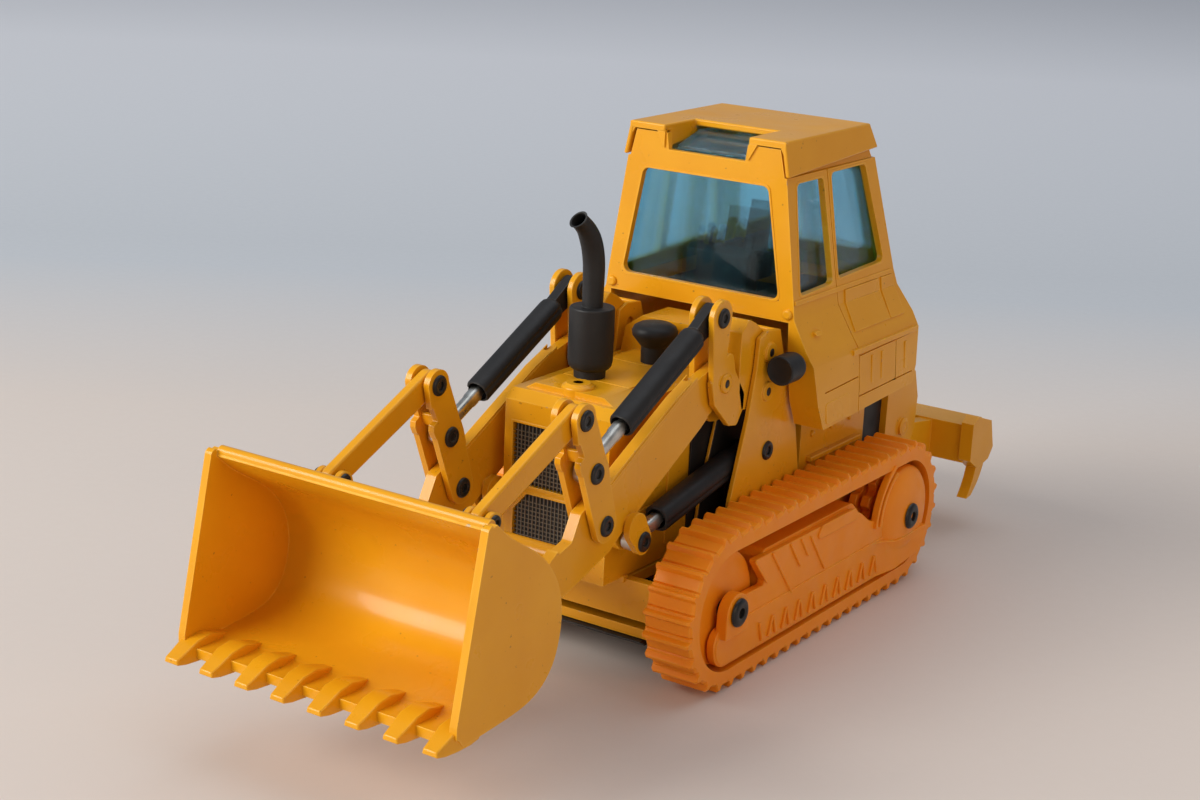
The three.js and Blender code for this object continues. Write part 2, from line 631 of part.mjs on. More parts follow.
function fork(side) {
  const cheek = [
    [-1.3, 50.2], [-0.9, 51.4], [0.1, 52.2], [1.6, 52.3], [2.9, 51.6], [3.7, 50.2], [4.2, 45.2],
    [5.4, 41.4], [8.3, 37.6], [8.2, 35.4], [6.6, 33.2], [4.4, 33.6], [0.2, 37.4], [-0.8, 40.8],
  ];
  const cheeks = [INNER_CHEEK, OUTER_CHEEK].map((layer) => sidePlate(cheek, layer, side));
  const stem = sidePlate([
    [6.6, 46.6], [8.4, 48.2], [10.4, 47.3], [14.0, 44.8], [15.3, 42.6], [15.1, 35.6], [12.6, 34.6],
    [7.6, 35.2], [6.7, 38.0], [6.5, 42.6],
  ], CHEEKS, side);
  const slot = sidePlate([[-6, 30], [6.3, 30], [6.3, 60], [-6, 60]],
    [INNER_CHEEK[1], OUTER_CHEEK[0]], side);
  const holes = [TILT_BASE, ARM_PIVOT, ...TOWER_RIVETS].map((at) => pinHole(at, side));
  return cut(join(...cheeks, stem), slot, ...holes);
}

// ---------------------------------------------------------------- lift arms and cylinders

function liftArm(side) {
  const blade = sidePlate([
    [3.2, 43.2], [-0.7, 42.7], [-8.1, 40.0], [-24.0, 31.7], [-29.8, 29.4], [-31.6, 26.0],
    [-37.0, 24.4], [-42.6, 20.4], [-43.6, 16.2], [-39.0, 16.9], [-34.0, 18.8], [-29.0, 20.3], [-22.0, 22.8],
    [-15.4, 26.5], [-1.3, 34.1], [2.4, 37.0],
  ], TONGUE, side);
  const pivotEye = crossRound(ARM_PIVOT, 3.1, TONGUE, side);
  const bucketEye = crossRound(BUCKET_PIVOT, 2.3, TONGUE, side);
  const lugPlates = [INNER_CHEEK, OUTER_CHEEK].map((layer) => (
    strap([-17.4, 25.2], 2.2, LIFT_END, 1.9, layer, side)));
  const lugSpacer = strap([-18.2, 26.0], 0.9, [-17.0, 26.4], 0.9,
    [INNER_CHEEK[1], OUTER_CHEEK[0]], side);
  const rodSlot = strap([-17.6, 21.6], 2.4, [-9, 23.4], 2.4, TONGUE, side);
  const holes = [ARM_PIVOT, BUCKET_PIVOT, CRANK_PIVOT, LIFT_END].map((at) => pinHole(at, side));
  const slotted = cut(join(blade, pivotEye, bucketEye), rodSlot);
  return cut(join(slotted, lugSpacer, ...lugPlates), ...holes);
}

const crossTube = () => crossRound([-30.0, 22.7], 1.8, [-10.85, 10.85]);

// A cylinder barrel: an eye on the base pin and a tube open at its far end.
function barrel(base, end, radius, length, side, slotLength = 0) {
  const tube = aimedTurned(base, end, side * LINKAGE_X, [
    [0, BARREL_START], [radius - 0.4, BARREL_START], [radius, BARREL_START + 0.5],
    [radius, length], [BARREL_BORE, length], [BARREL_BORE, BARREL_FLOOR], [0, BARREL_FLOOR],
  ]);
  const [dy, dz] = [end[0] - base[0], end[1] - base[1]];
  const reach = BARREL_START / Math.hypot(dy, dz);
  const neck = strap(base, EYE_RADIUS, [base[0] + dy * reach, base[1] + dz * reach], 1.2,
    TONGUE, side);
  const body = cut(join(tube, neck), pinHole(base, side));
  if (!slotLength) return body;
  const along = new THREE.Vector2(dy, dz).normalize();
  const across = new THREE.Vector2(-along.y, along.x).multiplyScalar(2 * radius);
  const slot = [[length - slotLength, 1], [length + 1, 1], [length + 1, -1], [length - slotLength, -1]]
    .map(([reachOut, turn]) => [
      base[0] + along.x * reachOut + across.x * turn,
      base[1] + along.y * reachOut + across.y * turn,
    ]);
  return cut(body, sidePlate(slot, [LINKAGE_X - SLOT_HALF, LINKAGE_X + SLOT_HALF], side));
}

// A piston rod: an eye on the end pin, a polished rod and a piston head inside the barrel.
function rod(end, base, length, side) {
  const [dy, dz] = [base[0] - end[0], base[1] - end[1]];
  const reach = 2.6 / Math.hypot(dy, dz);
  const shaft = aimedTurned(end, base, side * LINKAGE_X, [
    [0, 1.6], [ROD_RADIUS, 1.6], [ROD_RADIUS, length - 0.2], [ROD_RADIUS - 0.2, length],
    [0, length],
  ]);
  const eye = strap(end, 1.6, [end[0] + dy * reach, end[1] + dz * reach], 0.8, TONGUE, side);
  return cut(join(shaft, eye), pinHole(end, side));
}

// ---------------------------------------------------------------- cranks, links, bucket

function crank(side) {
  const cheeks = [INNER_CHEEK, OUTER_CHEEK].map((layer) => join(
    strap(CRANK_PIVOT, 2.3, TILT_END, 2.6, layer, side),
    strap(TILT_END, 2.6, LINK_TOP, 2.1, layer, side)));
  const web = sidePlate([[-30.9, 36.2], [-30.2, 35.9], [-31.2, 38.7], [-32.0, 38.5]],
    CHEEKS, side);
  const holes = [CRANK_PIVOT, TILT_END, LINK_TOP].map((at) => pinHole(at, side));
  return cut(join(...cheeks, web), ...holes);
}

function bucketLink(side) {
  const bar = strap(LINK_TOP, 1.8, LINK_FRONT, 1.8, TONGUE, side);
  const holes = [LINK_TOP, LINK_FRONT].map((at) => pinHole(at, side));
  return cut(bar, ...holes);
}

// The bucket's outer skin from the top lip, round the back, to the cutting edge.
const BUCKET_BACK = [
  [-60.4, 38.4], [-57.5, 36.0], [-52.4, 32.8], [-49.7, 30.4], [-47.8, 27.6], [-46.9, 24.4],
  [-47.0, 21.2], [-48.0, 18.0], [-49.8, 15.8], [-52.3, 14.4], [-56.3, 13.6], [-65.6, 13.0],
];

// The same curve moved inward by a distance.
function offsetCurve(points, distance) {
  return points.map(([y, z], i) => {
    const [y0, z0] = points[Math.max(i - 1, 0)];
    const [y1, z1] = points[Math.min(i + 1, points.length - 1)];
    const length = Math.hypot(y1 - y0, z1 - z0);
    return [y + (z1 - z0) / length * distance, z - (y1 - y0) / length * distance];
  });
}

function bucket() {
  const inner = offsetCurve(BUCKET_BACK, BUCKET_SKIN);
  const skin = sidePlate([...BUCKET_BACK, ...inner.reverse()], [-BUCKET_HALF, BUCKET_HALF]);
  const cheek = [...BUCKET_BACK, [-66.8, 13.2], [-66.8, 15.6], [-62.2, 38.0], [-61.4, 38.6]];
  const cheeks = [1, -1].map((side) => (
    sidePlate(cheek, [BUCKET_HALF - CHEEK_THICK, BUCKET_HALF], side)));
  const lip = sidePlate([[-62.0, 13.1], [-62.0, 14.5], [-65.8, 14.3], [-66.9, 13.1]],
    [-BUCKET_HALF, BUCKET_HALF]);
  const teeth = Array.from({ length: TEETH }, (_, i) => {
    const x = -TOOTH_SPAN / 2 + i * TOOTH_SPAN / (TEETH - 1);
    const shank = sidePlate([
      [-62.4, 12.6], [-62.4, 15.3], [-64.4, 15.3], [-66.6, 14.9], [-66.6, 12.6],
    ], [x - TOOTH_HALF, x + TOOTH_HALF]);
    const tip = sidePlate([[-66.5, 12.6], [-66.5, 14.9], [TOOTH_TIP, 13.5], [TOOTH_TIP, 12.9]],
      [x - TOOTH_HALF + 0.3, x + TOOTH_HALF - 0.3]);
    return join(shank, tip);
  });
  const earOutline = [
    [-49.2, 14.6], [-44.3, 15.9], [-42.4, 16.8], [-41.8, 18.4], [-42.3, 20.0], [-44.6, 21.2],
    [-46.2, 26.0], [-48.0, 33.0], [-48.6, 35.4], [-50.2, 36.1], [-51.7, 35.5], [-54.6, 33.4],
    [-49.0, 30.6], [-46.6, 24.6], [-46.9, 20.0],
  ];
  const ears = [1, -1].flatMap((side) => [INNER_CHEEK, OUTER_CHEEK].map((layer) => (
    sidePlate(earOutline, layer, side))));
  const solids = join(skin, ...cheeks, lip, ...teeth, ...ears);
  const scoop = sidePlate([...offsetCurve(BUCKET_BACK, BUCKET_SKIN), [-75, 16], [-75, 60], [-60, 60]],
    [-BUCKET_HALF + CHEEK_THICK, BUCKET_HALF - CHEEK_THICK]);
  const holes = [1, -1].map((side) => pinHole(BUCKET_PIVOT, side));
  const linkPins = [1, -1].map((side) => crossRound(LINK_FRONT, PIN_RADIUS, CHEEKS, side, PIN_SIDES));
  const linkHeads = [1, -1].flatMap((side) => [
    [CHEEKS[0] - RIVET_HEAD_THICK, CHEEKS[0] + 0.1], [CHEEKS[1] - 0.1, CHEEKS[1] + RIVET_HEAD_THICK],
  ].map((layer) => crossRound(LINK_FRONT, RIVET_HEAD, layer, side, PIN_SIDES)));
  return join(cut(solids, scoop, ...holes), ...linkPins, ...linkHeads);
}

// ---------------------------------------------------------------- the machine

function undercarriage(name, side) {
  return assembly(
    part(`track_belt_${name}`, trackBelt(side), orange),
    part(`track_frame_${name}`, trackFrame(side), orange),
    part(`idler_${name}`, idler(side), orange, [side * WHEEL_X[0], IDLER_Y, AXLE_Z]),
    part(`sprocket_${name}`, sprocket(side), orange, [side * WHEEL_X[0], SPROCKET_Y, AXLE_Z]),
  );
}

function loaderSide(name, side) {
  return assembly(
    part(`loader_tower_${name}`, tower(side), yellow),
    part(`fork_bracket_${name}`, fork(side), yellow),
    part(`work_lamp_${name}`, lamp(side), black),
    part(`arm_pivot_${name}`, rivet(ARM_PIVOT, CHEEKS, side), yellow, anchorAt(ARM_PIVOT, side)),
    part(`lift_base_pin_${name}`, rivet(LIFT_BASE, TOWER_SPAN, side), black,
      anchorAt(LIFT_BASE, side)),
    part(`lift_barrel_${name}`, barrel(LIFT_BASE, LIFT_END, LIFT_RADIUS, LIFT_BARREL, side), black,
      anchorAt(LIFT_BASE, side)),
    part(`lift_rod_${name}`, rod(LIFT_END, LIFT_BASE, LIFT_ROD, side), bright,
      anchorAt(LIFT_END, side)),
    part(`lift_end_pin_${name}`, rivet(LIFT_END, CHEEKS, side), black, anchorAt(LIFT_END, side)),
    part(`lift_arm_${name}`, liftArm(side), yellow, anchorAt(ARM_PIVOT, side)),
    part(`tilt_base_pin_${name}`, rivet(TILT_BASE, CHEEKS, side), black, anchorAt(TILT_BASE, side)),
    part(`tilt_barrel_${name}`,
      barrel(TILT_BASE, TILT_END, TILT_RADIUS, TILT_BARREL, side, TILT_SLOT), black,
      anchorAt(TILT_BASE, side)),
    part(`tilt_rod_${name}`, rod(TILT_END, TILT_BASE, TILT_ROD, side), bright,
      anchorAt(TILT_END, side)),
    part(`tilt_end_pin_${name}`, rivet(TILT_END, CHEEKS, side), black, anchorAt(TILT_END, side)),
    part(`crank_pin_${name}`, rivet(CRANK_PIVOT, CHEEKS, side), black, anchorAt(CRANK_PIVOT, side)),
    part(`bellcrank_${name}`, crank(side), yellow, anchorAt(CRANK_PIVOT, side)),
    part(`link_pin_${name}`, rivet(LINK_TOP, CHEEKS, side), black, anchorAt(LINK_TOP, side)),
    part(`bucket_link_${name}`, bucketLink(side), yellow, anchorAt(LINK_TOP, side)),
    part(`bucket_pin_${name}`, rivet(BUCKET_PIVOT, CHEEKS, side), black,
      anchorAt(BUCKET_PIVOT, side)),
  );
}

const body = assembly(
  part('chassis_frame', chassisFrame(), yellow),
  part('belly_plate', bellyPlate(), black),
  part('engine_hood', engineHood(), yellow),
  part('grille_insert', grilleInsert(), black),
  part('exhaust', exhaust(), black),
  part('precleaner', precleaner(), black),
  part('front_axle', axle(IDLER_Y), black, [0, IDLER_Y, AXLE_Z]),
  part('rear_axle', axle(SPROCKET_Y), black, [0, SPROCKET_Y, AXLE_Z]),
  part('ripper_bracket', ripperBracket(), yellow),
  part('ripper', ripper(), yellow, [0, ...RIPPER_PIVOT]),
);

const cab = assembly(
  part('cab_body', cabBody(), yellow),
  part('cab_roof', cabRoof(), yellow),
  part('cab_glazing', cabGlazing(), tinted),
  part('operator_seat', operatorSeat(), black),
);

const machine = new THREE.Group();
machine.add(body, cab);
machine.add(part('cross_tube', crossTube(), yellow));
machine.add(part('bucket', bucket(), yellow, [0, ...BUCKET_PIVOT]));
Object.entries(SIDES).forEach(([name, side]) => {
  machine.add(undercarriage(name, side), loaderSide(name, side));
});
machine.position.y = -(TOOTH_TIP + RIPPER_REAR) / 2;

export default machine;
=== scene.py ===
"""The looks of a die-cast toy track loader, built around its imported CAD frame.

Blender objects are in metres, +Z up, with the bucket towards -Y. Outlines are written in
millimetres in the machine's own plane, whose y runs 7.2 mm ahead of the shared frame.
"""

import json
import math

import bmesh
import bpy
from mathutils import Matrix, Vector


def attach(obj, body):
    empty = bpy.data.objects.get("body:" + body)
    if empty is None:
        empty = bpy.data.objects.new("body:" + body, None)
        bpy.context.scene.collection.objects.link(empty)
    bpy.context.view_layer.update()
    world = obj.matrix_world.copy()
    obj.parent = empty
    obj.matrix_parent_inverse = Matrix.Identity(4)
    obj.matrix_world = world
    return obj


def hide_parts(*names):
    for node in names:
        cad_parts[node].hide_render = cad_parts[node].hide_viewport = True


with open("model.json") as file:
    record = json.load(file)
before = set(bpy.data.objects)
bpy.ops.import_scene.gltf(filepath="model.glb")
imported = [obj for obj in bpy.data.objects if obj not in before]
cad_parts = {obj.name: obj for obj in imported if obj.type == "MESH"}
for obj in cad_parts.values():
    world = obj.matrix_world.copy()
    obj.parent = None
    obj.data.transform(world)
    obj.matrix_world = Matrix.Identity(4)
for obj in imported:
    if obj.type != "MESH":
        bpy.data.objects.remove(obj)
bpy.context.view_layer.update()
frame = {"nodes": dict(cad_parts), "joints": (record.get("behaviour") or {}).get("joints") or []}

# -------- driving dimensions

MM = 0.001
SIDES = {"left": 1, "right": -1}
PIVOTS = {joint["name"]: joint.get("pos_m") for joint in frame["joints"]}
ARM_PIVOT_Y = 2.8
SHIFT = PIVOTS["arm_lift"][1] / MM - ARM_PIVOT_Y


def pivot(joint):
    """A joint's place in the machine's side plane, as (y, z)."""
    place = PIVOTS[joint]
    return (place[1] / MM - SHIFT, place[2] / MM)


ARM_PIVOT = pivot("arm_lift")
TILT_BASE = pivot("tilt_barrel_swing_left")
TILT_END = pivot("tilt_rod_swing_left")
LIFT_BASE = pivot("lift_barrel_swing_left")
LIFT_END = pivot("lift_rod_swing_left")
CRANK_PIVOT = pivot("crank_tilt_left")
LINK_TOP = pivot("link_swing_left")
BUCKET_PIVOT = pivot("bucket_tilt")
LINK_FRONT = tuple(b + t - c for b, t, c in zip(BUCKET_PIVOT, LINK_TOP, CRANK_PIVOT))
RIPPER_PIVOT = pivot("ripper_lift")
IDLER = pivot("idler_spin_left")
SPROCKET = pivot("sprocket_spin_left")
TOWER_RIVETS = [(13.3, 42.7), (13.1, 37.0)]

# Sideways layers of the linkage: a tongue held between two cheeks.
TONGUE = (10.9, 12.5)
INNER_CHEEK = (9.7, 10.6)
OUTER_CHEEK = (12.8, 13.7)
CHEEKS = (INNER_CHEEK[0], OUTER_CHEEK[1])
SPACER = (10.5, 12.9)
TOWER_SPAN = (9.15, 14.55)
LINKAGE_X = sum(TONGUE) / 2

# Each cylinder: its two pins, the barrel's radius and length, where the rod's collar ends and how far
# the rod reaches, both from the rod's own pin.
CYLINDERS = {
    "tilt": (TILT_BASE, TILT_END, 1.7, 24.0, 9.3, 18.6),
    "lift": (LIFT_BASE, LIFT_END, 1.84, 25.0, 6.4, 19.2),
}
BORE = 1.42

RIVET_HEAD = 1.42
RIVET_THICK = 0.38
RIVET_WELL = 0.62
EDGE = 0.16
SHARP = 38
FINE = 40
THINNEST = 0.002

BELT_X = (15.0, 22.4)
BELT_INNER = 8.6
BELT_PLATE = 10.7
SHOES = 54
SPROCKET_TEETH = 13
STROKES = 22
STROKE_PITCH = 1.95

HOOD_FRONT = -17.9
HOOD_LINE_Z = (40.12, 41.0)
GRILLE_PITCH = 0.62
GRILLE_WIRE = 0.13
# Each grille window: half its width, its bottom and top, and how far its top corners are cut off.
GRILLE_WINDOWS = [((7.2, 26.4, 35.0), (0, 0)), ((6.8, 17.8, 25.2), (2.2, 2.6))]

EXHAUST_PLACE = (-2.0, -7.6)
STACK_STEPS = 28
PRECLEANER_PLACE = (0.4, 5.0, 0)

# The cab's side wall, as (z, x) where it bends.
EAVES = (66.8, 13.3)
WAIST = (49.4, 15.8)
SHOULDER = (46.9, 16.1)
HIP = (42.6, 18.2)
CREASE = (40.4, 19.5)
SKIRT = (30.6, 20.0)
CAB_FRONT = 17.4
SEAM_WIDTH = 0.24
SEAM_DEPTH = 0.3

BUCKET_HALF = 21.8
BUCKET_SKIN = 1.15
BUCKET_CHEEK = 1.1
BUCKET_BACK = [(-60.4, 38.4), (-57.5, 36.0), (-52.4, 32.8), (-49.7, 30.4), (-47.8, 27.6), (-46.9, 24.4),
               (-47.0, 21.2), (-48.0, 18.0), (-49.8, 15.8), (-52.3, 14.4), (-56.3, 13.6), (-65.6, 13.0)]
TEETH = 8
TOOTH_SPAN = 40.4
TOOTH_TIP = -69.8

WEAR_WIDTH = 0.0003

# Where the camera looks, in the machine's millimetres, and from where: degrees, metres and lens.
CAMERA_TARGET = (-5.07, -0.01, 34.6)
CAMERA_AZIMUTH = 33.42
CAMERA_ELEVATION = 16.22
CAMERA_ROLL = 2.65
CAMERA_DISTANCE = 0.30321
CAMERA_LENS = 63.92


# -------- materials

class Recipe:
    """A material being built: its nodes, its shader and the place that its patterns follow."""

    def __init__(self, name, **shader_values):
        self.material = bpy.data.materials.new(name)
        self.material.use_nodes = True
        self.tree = self.material.node_tree
        self.shader = self.tree.nodes["Principled BSDF"]
        for key, value in shader_values.items():
            self.shader.inputs[key.replace("_", " ")].default_value = value
        self.place = self.tree.nodes.new("ShaderNodeTexCoord").outputs["Object"]

    def node(self, kind, links=(), **values):
        """A node with its first inputs linked, and its attributes and other inputs set by name."""
        node = self.tree.nodes.new(kind)
        for name, value in values.items():
            if name in node.inputs:
                node.inputs[name].default_value = value
            else:
                setattr(node, name, value)
        for source, socket in zip(links, node.inputs):
            self.tree.links.new(source, socket)
        return node

    def feed(self, socket, value):
        self.tree.links.new(value, self.shader.inputs[socket])

    def noise(self, scale, detail=3.0, stretch=None):
        """Cloudy noise, drawn out where stretch scales the place along each axis."""
        source = self.place
        if stretch:
            source = self.node("ShaderNodeMapping", [self.place], Scale=stretch).outputs["Vector"]
        return self.node("ShaderNodeTexNoise", [source], Scale=scale, Detail=detail).outputs["Fac"]

    def ramp(self, value, low=0.3, high=0.7, start=0.0, end=1.0):
        """Maps value from low..high to start..end and holds it there."""
        limits = {"From Min": low, "From Max": high, "To Min": start, "To Max": end}
        return self.node("ShaderNodeMapRange", [value], **limits).outputs["Result"]

    def multiply(self, a, b):
        return self.node("ShaderNodeMath", [a, b], operation="MULTIPLY").outputs["Value"]

    def dot(self, a, b):
        """The dot product of a vector output with another, or with fixed numbers."""
        node = self.node("ShaderNodeVectorMath", [a], operation="DOT_PRODUCT")
        if isinstance(b, tuple):
            node.inputs[1].default_value = b
        else:
            self.tree.links.new(b, node.inputs[1])
        return node.outputs["Value"]

    def blend(self, factor, a, b):
        """Goes from colour a to colour b as factor goes from 0 to 1."""
        node = self.node("ShaderNodeMix", [factor], data_type="RGBA")
        for socket, value in ((node.inputs[6], a), (node.inputs[7], b)):
            if isinstance(value, tuple):
                socket.default_value = (*value, 1)
            else:
                self.tree.links.new(value, socket)
        return node.outputs[2]

    def worn_edges(self):
        """Close to 1 along sharp edges and 0 on flat faces."""
        softened = self.node("ShaderNodeBevel", Radius=WEAR_WIDTH, samples=4)
        plain = self.node("ShaderNodeNewGeometry")
        return self.ramp(self.dot(softened.outputs["Normal"], plain.outputs["Normal"]), 0.995, 0.90)

    def bump(self, height, strength, distance):
        """Raises and lowers the surface by a height, over a distance in metres."""
        node = self.node("ShaderNodeBump", Strength=strength, Distance=distance)
        self.tree.links.new(height, node.inputs["Height"])
        self.feed("Normal", node.outputs["Normal"])


def enamel(name, base, deep, pale, roughness):
    """Sprayed enamel on die-cast metal: faint mottling, chips on the edges, and paler edges that are thin
    paint and partly a painted highlight.
    """
    paint = Recipe(name, Coat_Weight=0.2, Coat_Roughness=0.12, Specular_IOR_Level=0.22)
    colour = paint.blend(paint.ramp(paint.noise(90)), base, deep)
    edges = paint.worn_edges()
    # Paler colour along every sharp edge: thin paint, and partly a painted highlight where the edges catch
    # the light.
    thin = paint.multiply(edges, paint.ramp(paint.noise(260), 0.35, 0.6, 0.25, 0.9))
    colour = paint.blend(thin, colour, pale)
    specks = paint.ramp(paint.noise(650, 6), 0.69, 0.71)
    chips = paint.multiply(paint.ramp(edges, 0.5, 0.7), specks)
    colour = paint.blend(chips, colour, (0.36, 0.33, 0.28))
    grime = paint.ramp(paint.noise(1500, 2), 0.73, 0.76, 0.0, 0.5)
    paint.feed("Base Color", paint.blend(grime, colour, (0.16, 0.07, 0.02)))
    paint.feed("Metallic", chips)
    paint.feed("Roughness", paint.ramp(paint.noise(140, 4), start=roughness - 0.06, end=roughness + 0.1))
    paint.bump(paint.noise(1100), 0.16, 0.00004)
    return paint.material


def moulded(name, base, deep, roughness, grain, strength, soft=0.0, scuff=None):
    """Moulded plastic: fine grain, soft sheen and, where a scuff colour is given, scuffed edges."""
    plastic = Recipe(name, Specular_IOR_Level=0.32, Subsurface_Weight=soft,
                     Subsurface_Radius=(1.0, 0.35, 0.1), Subsurface_Scale=0.0006)
    colour = plastic.blend(plastic.ramp(plastic.noise(120)), base, deep)
    if scuff:
        patches = plastic.ramp(plastic.noise(420, 5), 0.45, 0.6, 0.1, 0.8)
        colour = plastic.blend(plastic.multiply(plastic.worn_edges(), patches), colour, scuff)
    plastic.feed("Base Color", colour)
    sheen = plastic.ramp(plastic.noise(300, 4), start=roughness - 0.08, end=roughness + 0.12)
    plastic.feed("Roughness", sheen)
    plastic.bump(plastic.noise(grain, 4), strength, 0.00005)
    return plastic.material


def plated(name):
    """Plated steel, dulled and scratched along its length."""
    steel = Recipe(name, Metallic=1.0)
    streaks = steel.noise(700, 4, (1.0, 0.25, 0.25))
    steel.feed("Roughness", steel.ramp(streaks, 0.35, 0.7, 0.2, 0.55))
    stains = steel.ramp(steel.noise(380, 5), 0.4, 0.65)
    steel.feed("Base Color", steel.blend(stains, (0.66, 0.65, 0.61), (0.34, 0.31, 0.26)))
    steel.bump(streaks, 0.35, 0.00005)
    return steel.material


def glazing_plastic(name):
    """Clear blue moulding, a little wavy."""
    glazing = Recipe(
        name, Base_Color=(0.24, 0.72, 0.92, 1), Transmission_Weight=1.0, IOR=1.42, Alpha=0.62)
    glazing.feed("Roughness", glazing.ramp(glazing.noise(200), start=0.02, end=0.09))
    glazing.bump(glazing.noise(150, 2), 0.12, 0.00006)
    return glazing.material


def pale_paper(name):
    """The floor: painted light and shade, warm and pale near the object, then darker and cooler behind it,
    paling again with depth from the camera.
    """
    paper = Recipe(name, Specular_IOR_Level=0.25)
    # Depth runs along the camera's view; the colour change with it is painted light and shade, not the
    # paper's own colour.
    depth = paper.dot(paper.place, (-0.55, 0.835, 0.0))
    near = paper.blend(paper.ramp(paper.noise(6, 2)), (0.70, 0.615, 0.555), (0.675, 0.595, 0.54))
    far = paper.blend(paper.ramp(depth, 0.25, 0.65), (0.54, 0.56, 0.59), (0.80, 0.80, 0.83))
    paper.feed("Base Color", paper.blend(paper.ramp(depth, 0.10, 0.22), near, far))
    paper.feed("Roughness", paper.ramp(paper.noise(500), start=0.55, end=0.7))
    return paper.material


# A finish is a material and the record's material slot that it stands for.
YELLOW = (
    enamel("yellow_enamel", base=(0.76, 0.345, 0.008), deep=(0.71, 0.305, 0.006), pale=(0.86, 0.47, 0.05),
           roughness=0.30),
    "yellow_paint")
ORANGE = (
    moulded("orange_moulding", base=(0.90, 0.28, 0.006), deep=(0.84, 0.245, 0.005), roughness=0.40,
            grain=500, strength=0.2, soft=0.12, scuff=(0.82, 0.36, 0.03)),
    "track_orange")
BLACK = (
    moulded("black_moulding", base=(0.010, 0.010, 0.011), deep=(0.016, 0.015, 0.015), roughness=0.5,
            grain=1500, strength=0.45, scuff=(0.06, 0.06, 0.058)),
    "black_trim")
RIVET = (
    moulded("black_rivet", base=(0.010, 0.010, 0.011), deep=(0.018, 0.017, 0.017), roughness=0.30,
            grain=900, strength=0.2, scuff=(0.10, 0.085, 0.06)),
    "black_rivets")
MESH_WIRE = (
    moulded("grille_wire", base=(0.20, 0.16, 0.11), deep=(0.13, 0.11, 0.08), roughness=0.45,
            grain=900, strength=0.3),
    "black_trim")
BRIGHT = (plated("plated_steel"), "bright_rods")
GLASS = (glazing_plastic("blue_glazing"), "blue_glazing")

# -------- making pieces

def at(x, y, z):
    """A point of the machine, in millimetres, as a place in the shared frame."""
    return Vector((x, y + SHIFT, z)) * MM


def place_object(name, data):
    thing = bpy.data.objects.new(name, data)
    bpy.context.scene.collection.objects.link(thing)
    return thing


def finish_piece(mesh, name, finish, nodes=(), edge=EDGE, sharp=SHARP, body="chassis"):
    """Makes a named piece that rides on a CAD body, with softened edges."""
    material, slot = finish
    piece = place_object(name, mesh)
    mesh.materials.clear()
    mesh.materials.append(material)
    mesh.polygons.foreach_set("use_smooth", [True] * len(mesh.polygons))
    mesh.set_sharp_from_angle(angle=math.radians(sharp))
    if edge:
        soften = piece.modifiers.new("soft_edges", "BEVEL")
        soften.width = edge * MM
        soften.segments = 2
        soften.limit_method = "ANGLE"
        soften.angle_limit = math.radians(sharp)
    weighted = piece.modifiers.new("even_shading", "WEIGHTED_NORMAL")
    weighted.keep_sharp = True
    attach(piece, body)
    if nodes:
        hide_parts(*nodes)


def to_mesh(form, name):
    """The form as a mesh with its faces pointing out."""
    mesh = bpy.data.meshes.new(name)
    bmesh.ops.recalc_face_normals(form, faces=form.faces)
    form.to_mesh(mesh)
    form.free()
    return mesh


def carved(mesh, cuts):
    """The mesh with the solids of another form cut out of it."""
    blank = place_object("blank", mesh)
    cutter = place_object("cutter", to_mesh(cuts, "cutter"))
    cut = blank.modifiers.new("cut", "BOOLEAN")
    cut.operation = "DIFFERENCE"
    cut.solver = "EXACT"
    cut.use_self = True
    cut.object = cutter
    graph = bpy.context.evaluated_depsgraph_get()
    result = bpy.data.meshes.new_from_object(blank.evaluated_get(graph))
    bpy.data.objects.remove(blank)
    bpy.data.objects.remove(cutter)
    return result


def from_cad(node, name, finish, edge=EDGE, cuts=None, body="chassis"):
    """A finer piece in a CAD node's own shape, with its flat faces whole and its edges soft."""
    mesh = frame["nodes"][node].data.copy()
    form = bmesh.new()
    form.from_mesh(mesh)
    bmesh.ops.remove_doubles(form, verts=form.verts, dist=0.002 * MM)
    bmesh.ops.dissolve_limit(form, angle_limit=math.radians(1.0), verts=form.verts, edges=form.edges)
    form.to_mesh(mesh)
    form.free()
    if cuts:
        mesh = carved(mesh, cuts)
    finish_piece(mesh, name, finish, [node], edge, body=body)


def from_form(form, name, finish, nodes=(), edge=EDGE, sharp=SHARP, body="chassis"):
    finish_piece(to_mesh(form, name), name, finish, nodes, edge, sharp, body)


def merge_close(form):
    bmesh.ops.remove_doubles(form, verts=form.verts, dist=0.001 * MM)


def add_loft(form, rings, close_ends=True):
    """Joins rings of equally many points into one closed skin."""
    loops = [[form.verts.new(point) for point in ring] for ring in rings]
    for a, b in zip(loops, loops[1:]):
        for i, corner in enumerate(a):
            j = (i + 1) % len(a)
            form.faces.new((corner, a[j], b[j], b[i]))
    if close_ends:
        form.faces.new(loops[0][::-1])
        form.faces.new(loops[-1])


def add_plate(form, outline, near, far, side=1, lean=lambda z: 0.0):
    """A plate in the side plane, mirrored by its side; lean gives the x that it starts from at each z."""
    add_loft(form, [[at(side * (x + lean(z)), y, z) for y, z in outline] for x in (near, far)])


def add_front_plate(form, outline, near, far):
    add_loft(form, [[at(x, y, z) for x, z in outline] for y in (near, far)])


def add_box(form, xs, ys, zs, side=1):
    left, right = sorted(side * x for x in xs)
    low, high = zs
    add_front_plate(form, [(left, low), (right, low), (right, high), (left, high)], *ys)


def circle(steps):
    """The cosine and sine of evenly spaced angles."""
    angles = [2 * math.pi * i / steps for i in range(steps)]
    return [(math.cos(angle), math.sin(angle)) for angle in angles]


def add_turned(form, base, along, profile, steps=FINE):
    """A turned solid: profile is (radius, distance) from base along a direction, ends included."""
    direction = Vector(along).normalized()
    side = direction.orthogonal().normalized()
    other = direction.cross(side)
    centre = Vector(base)
    rings = []
    for radius, distance in profile:
        reach = max(radius, THINNEST)
        middle = centre + direction * distance
        rings.append([at(*(middle + side * (reach * c) + other * (reach * s))) for c, s in circle(steps)])
    add_loft(form, rings)


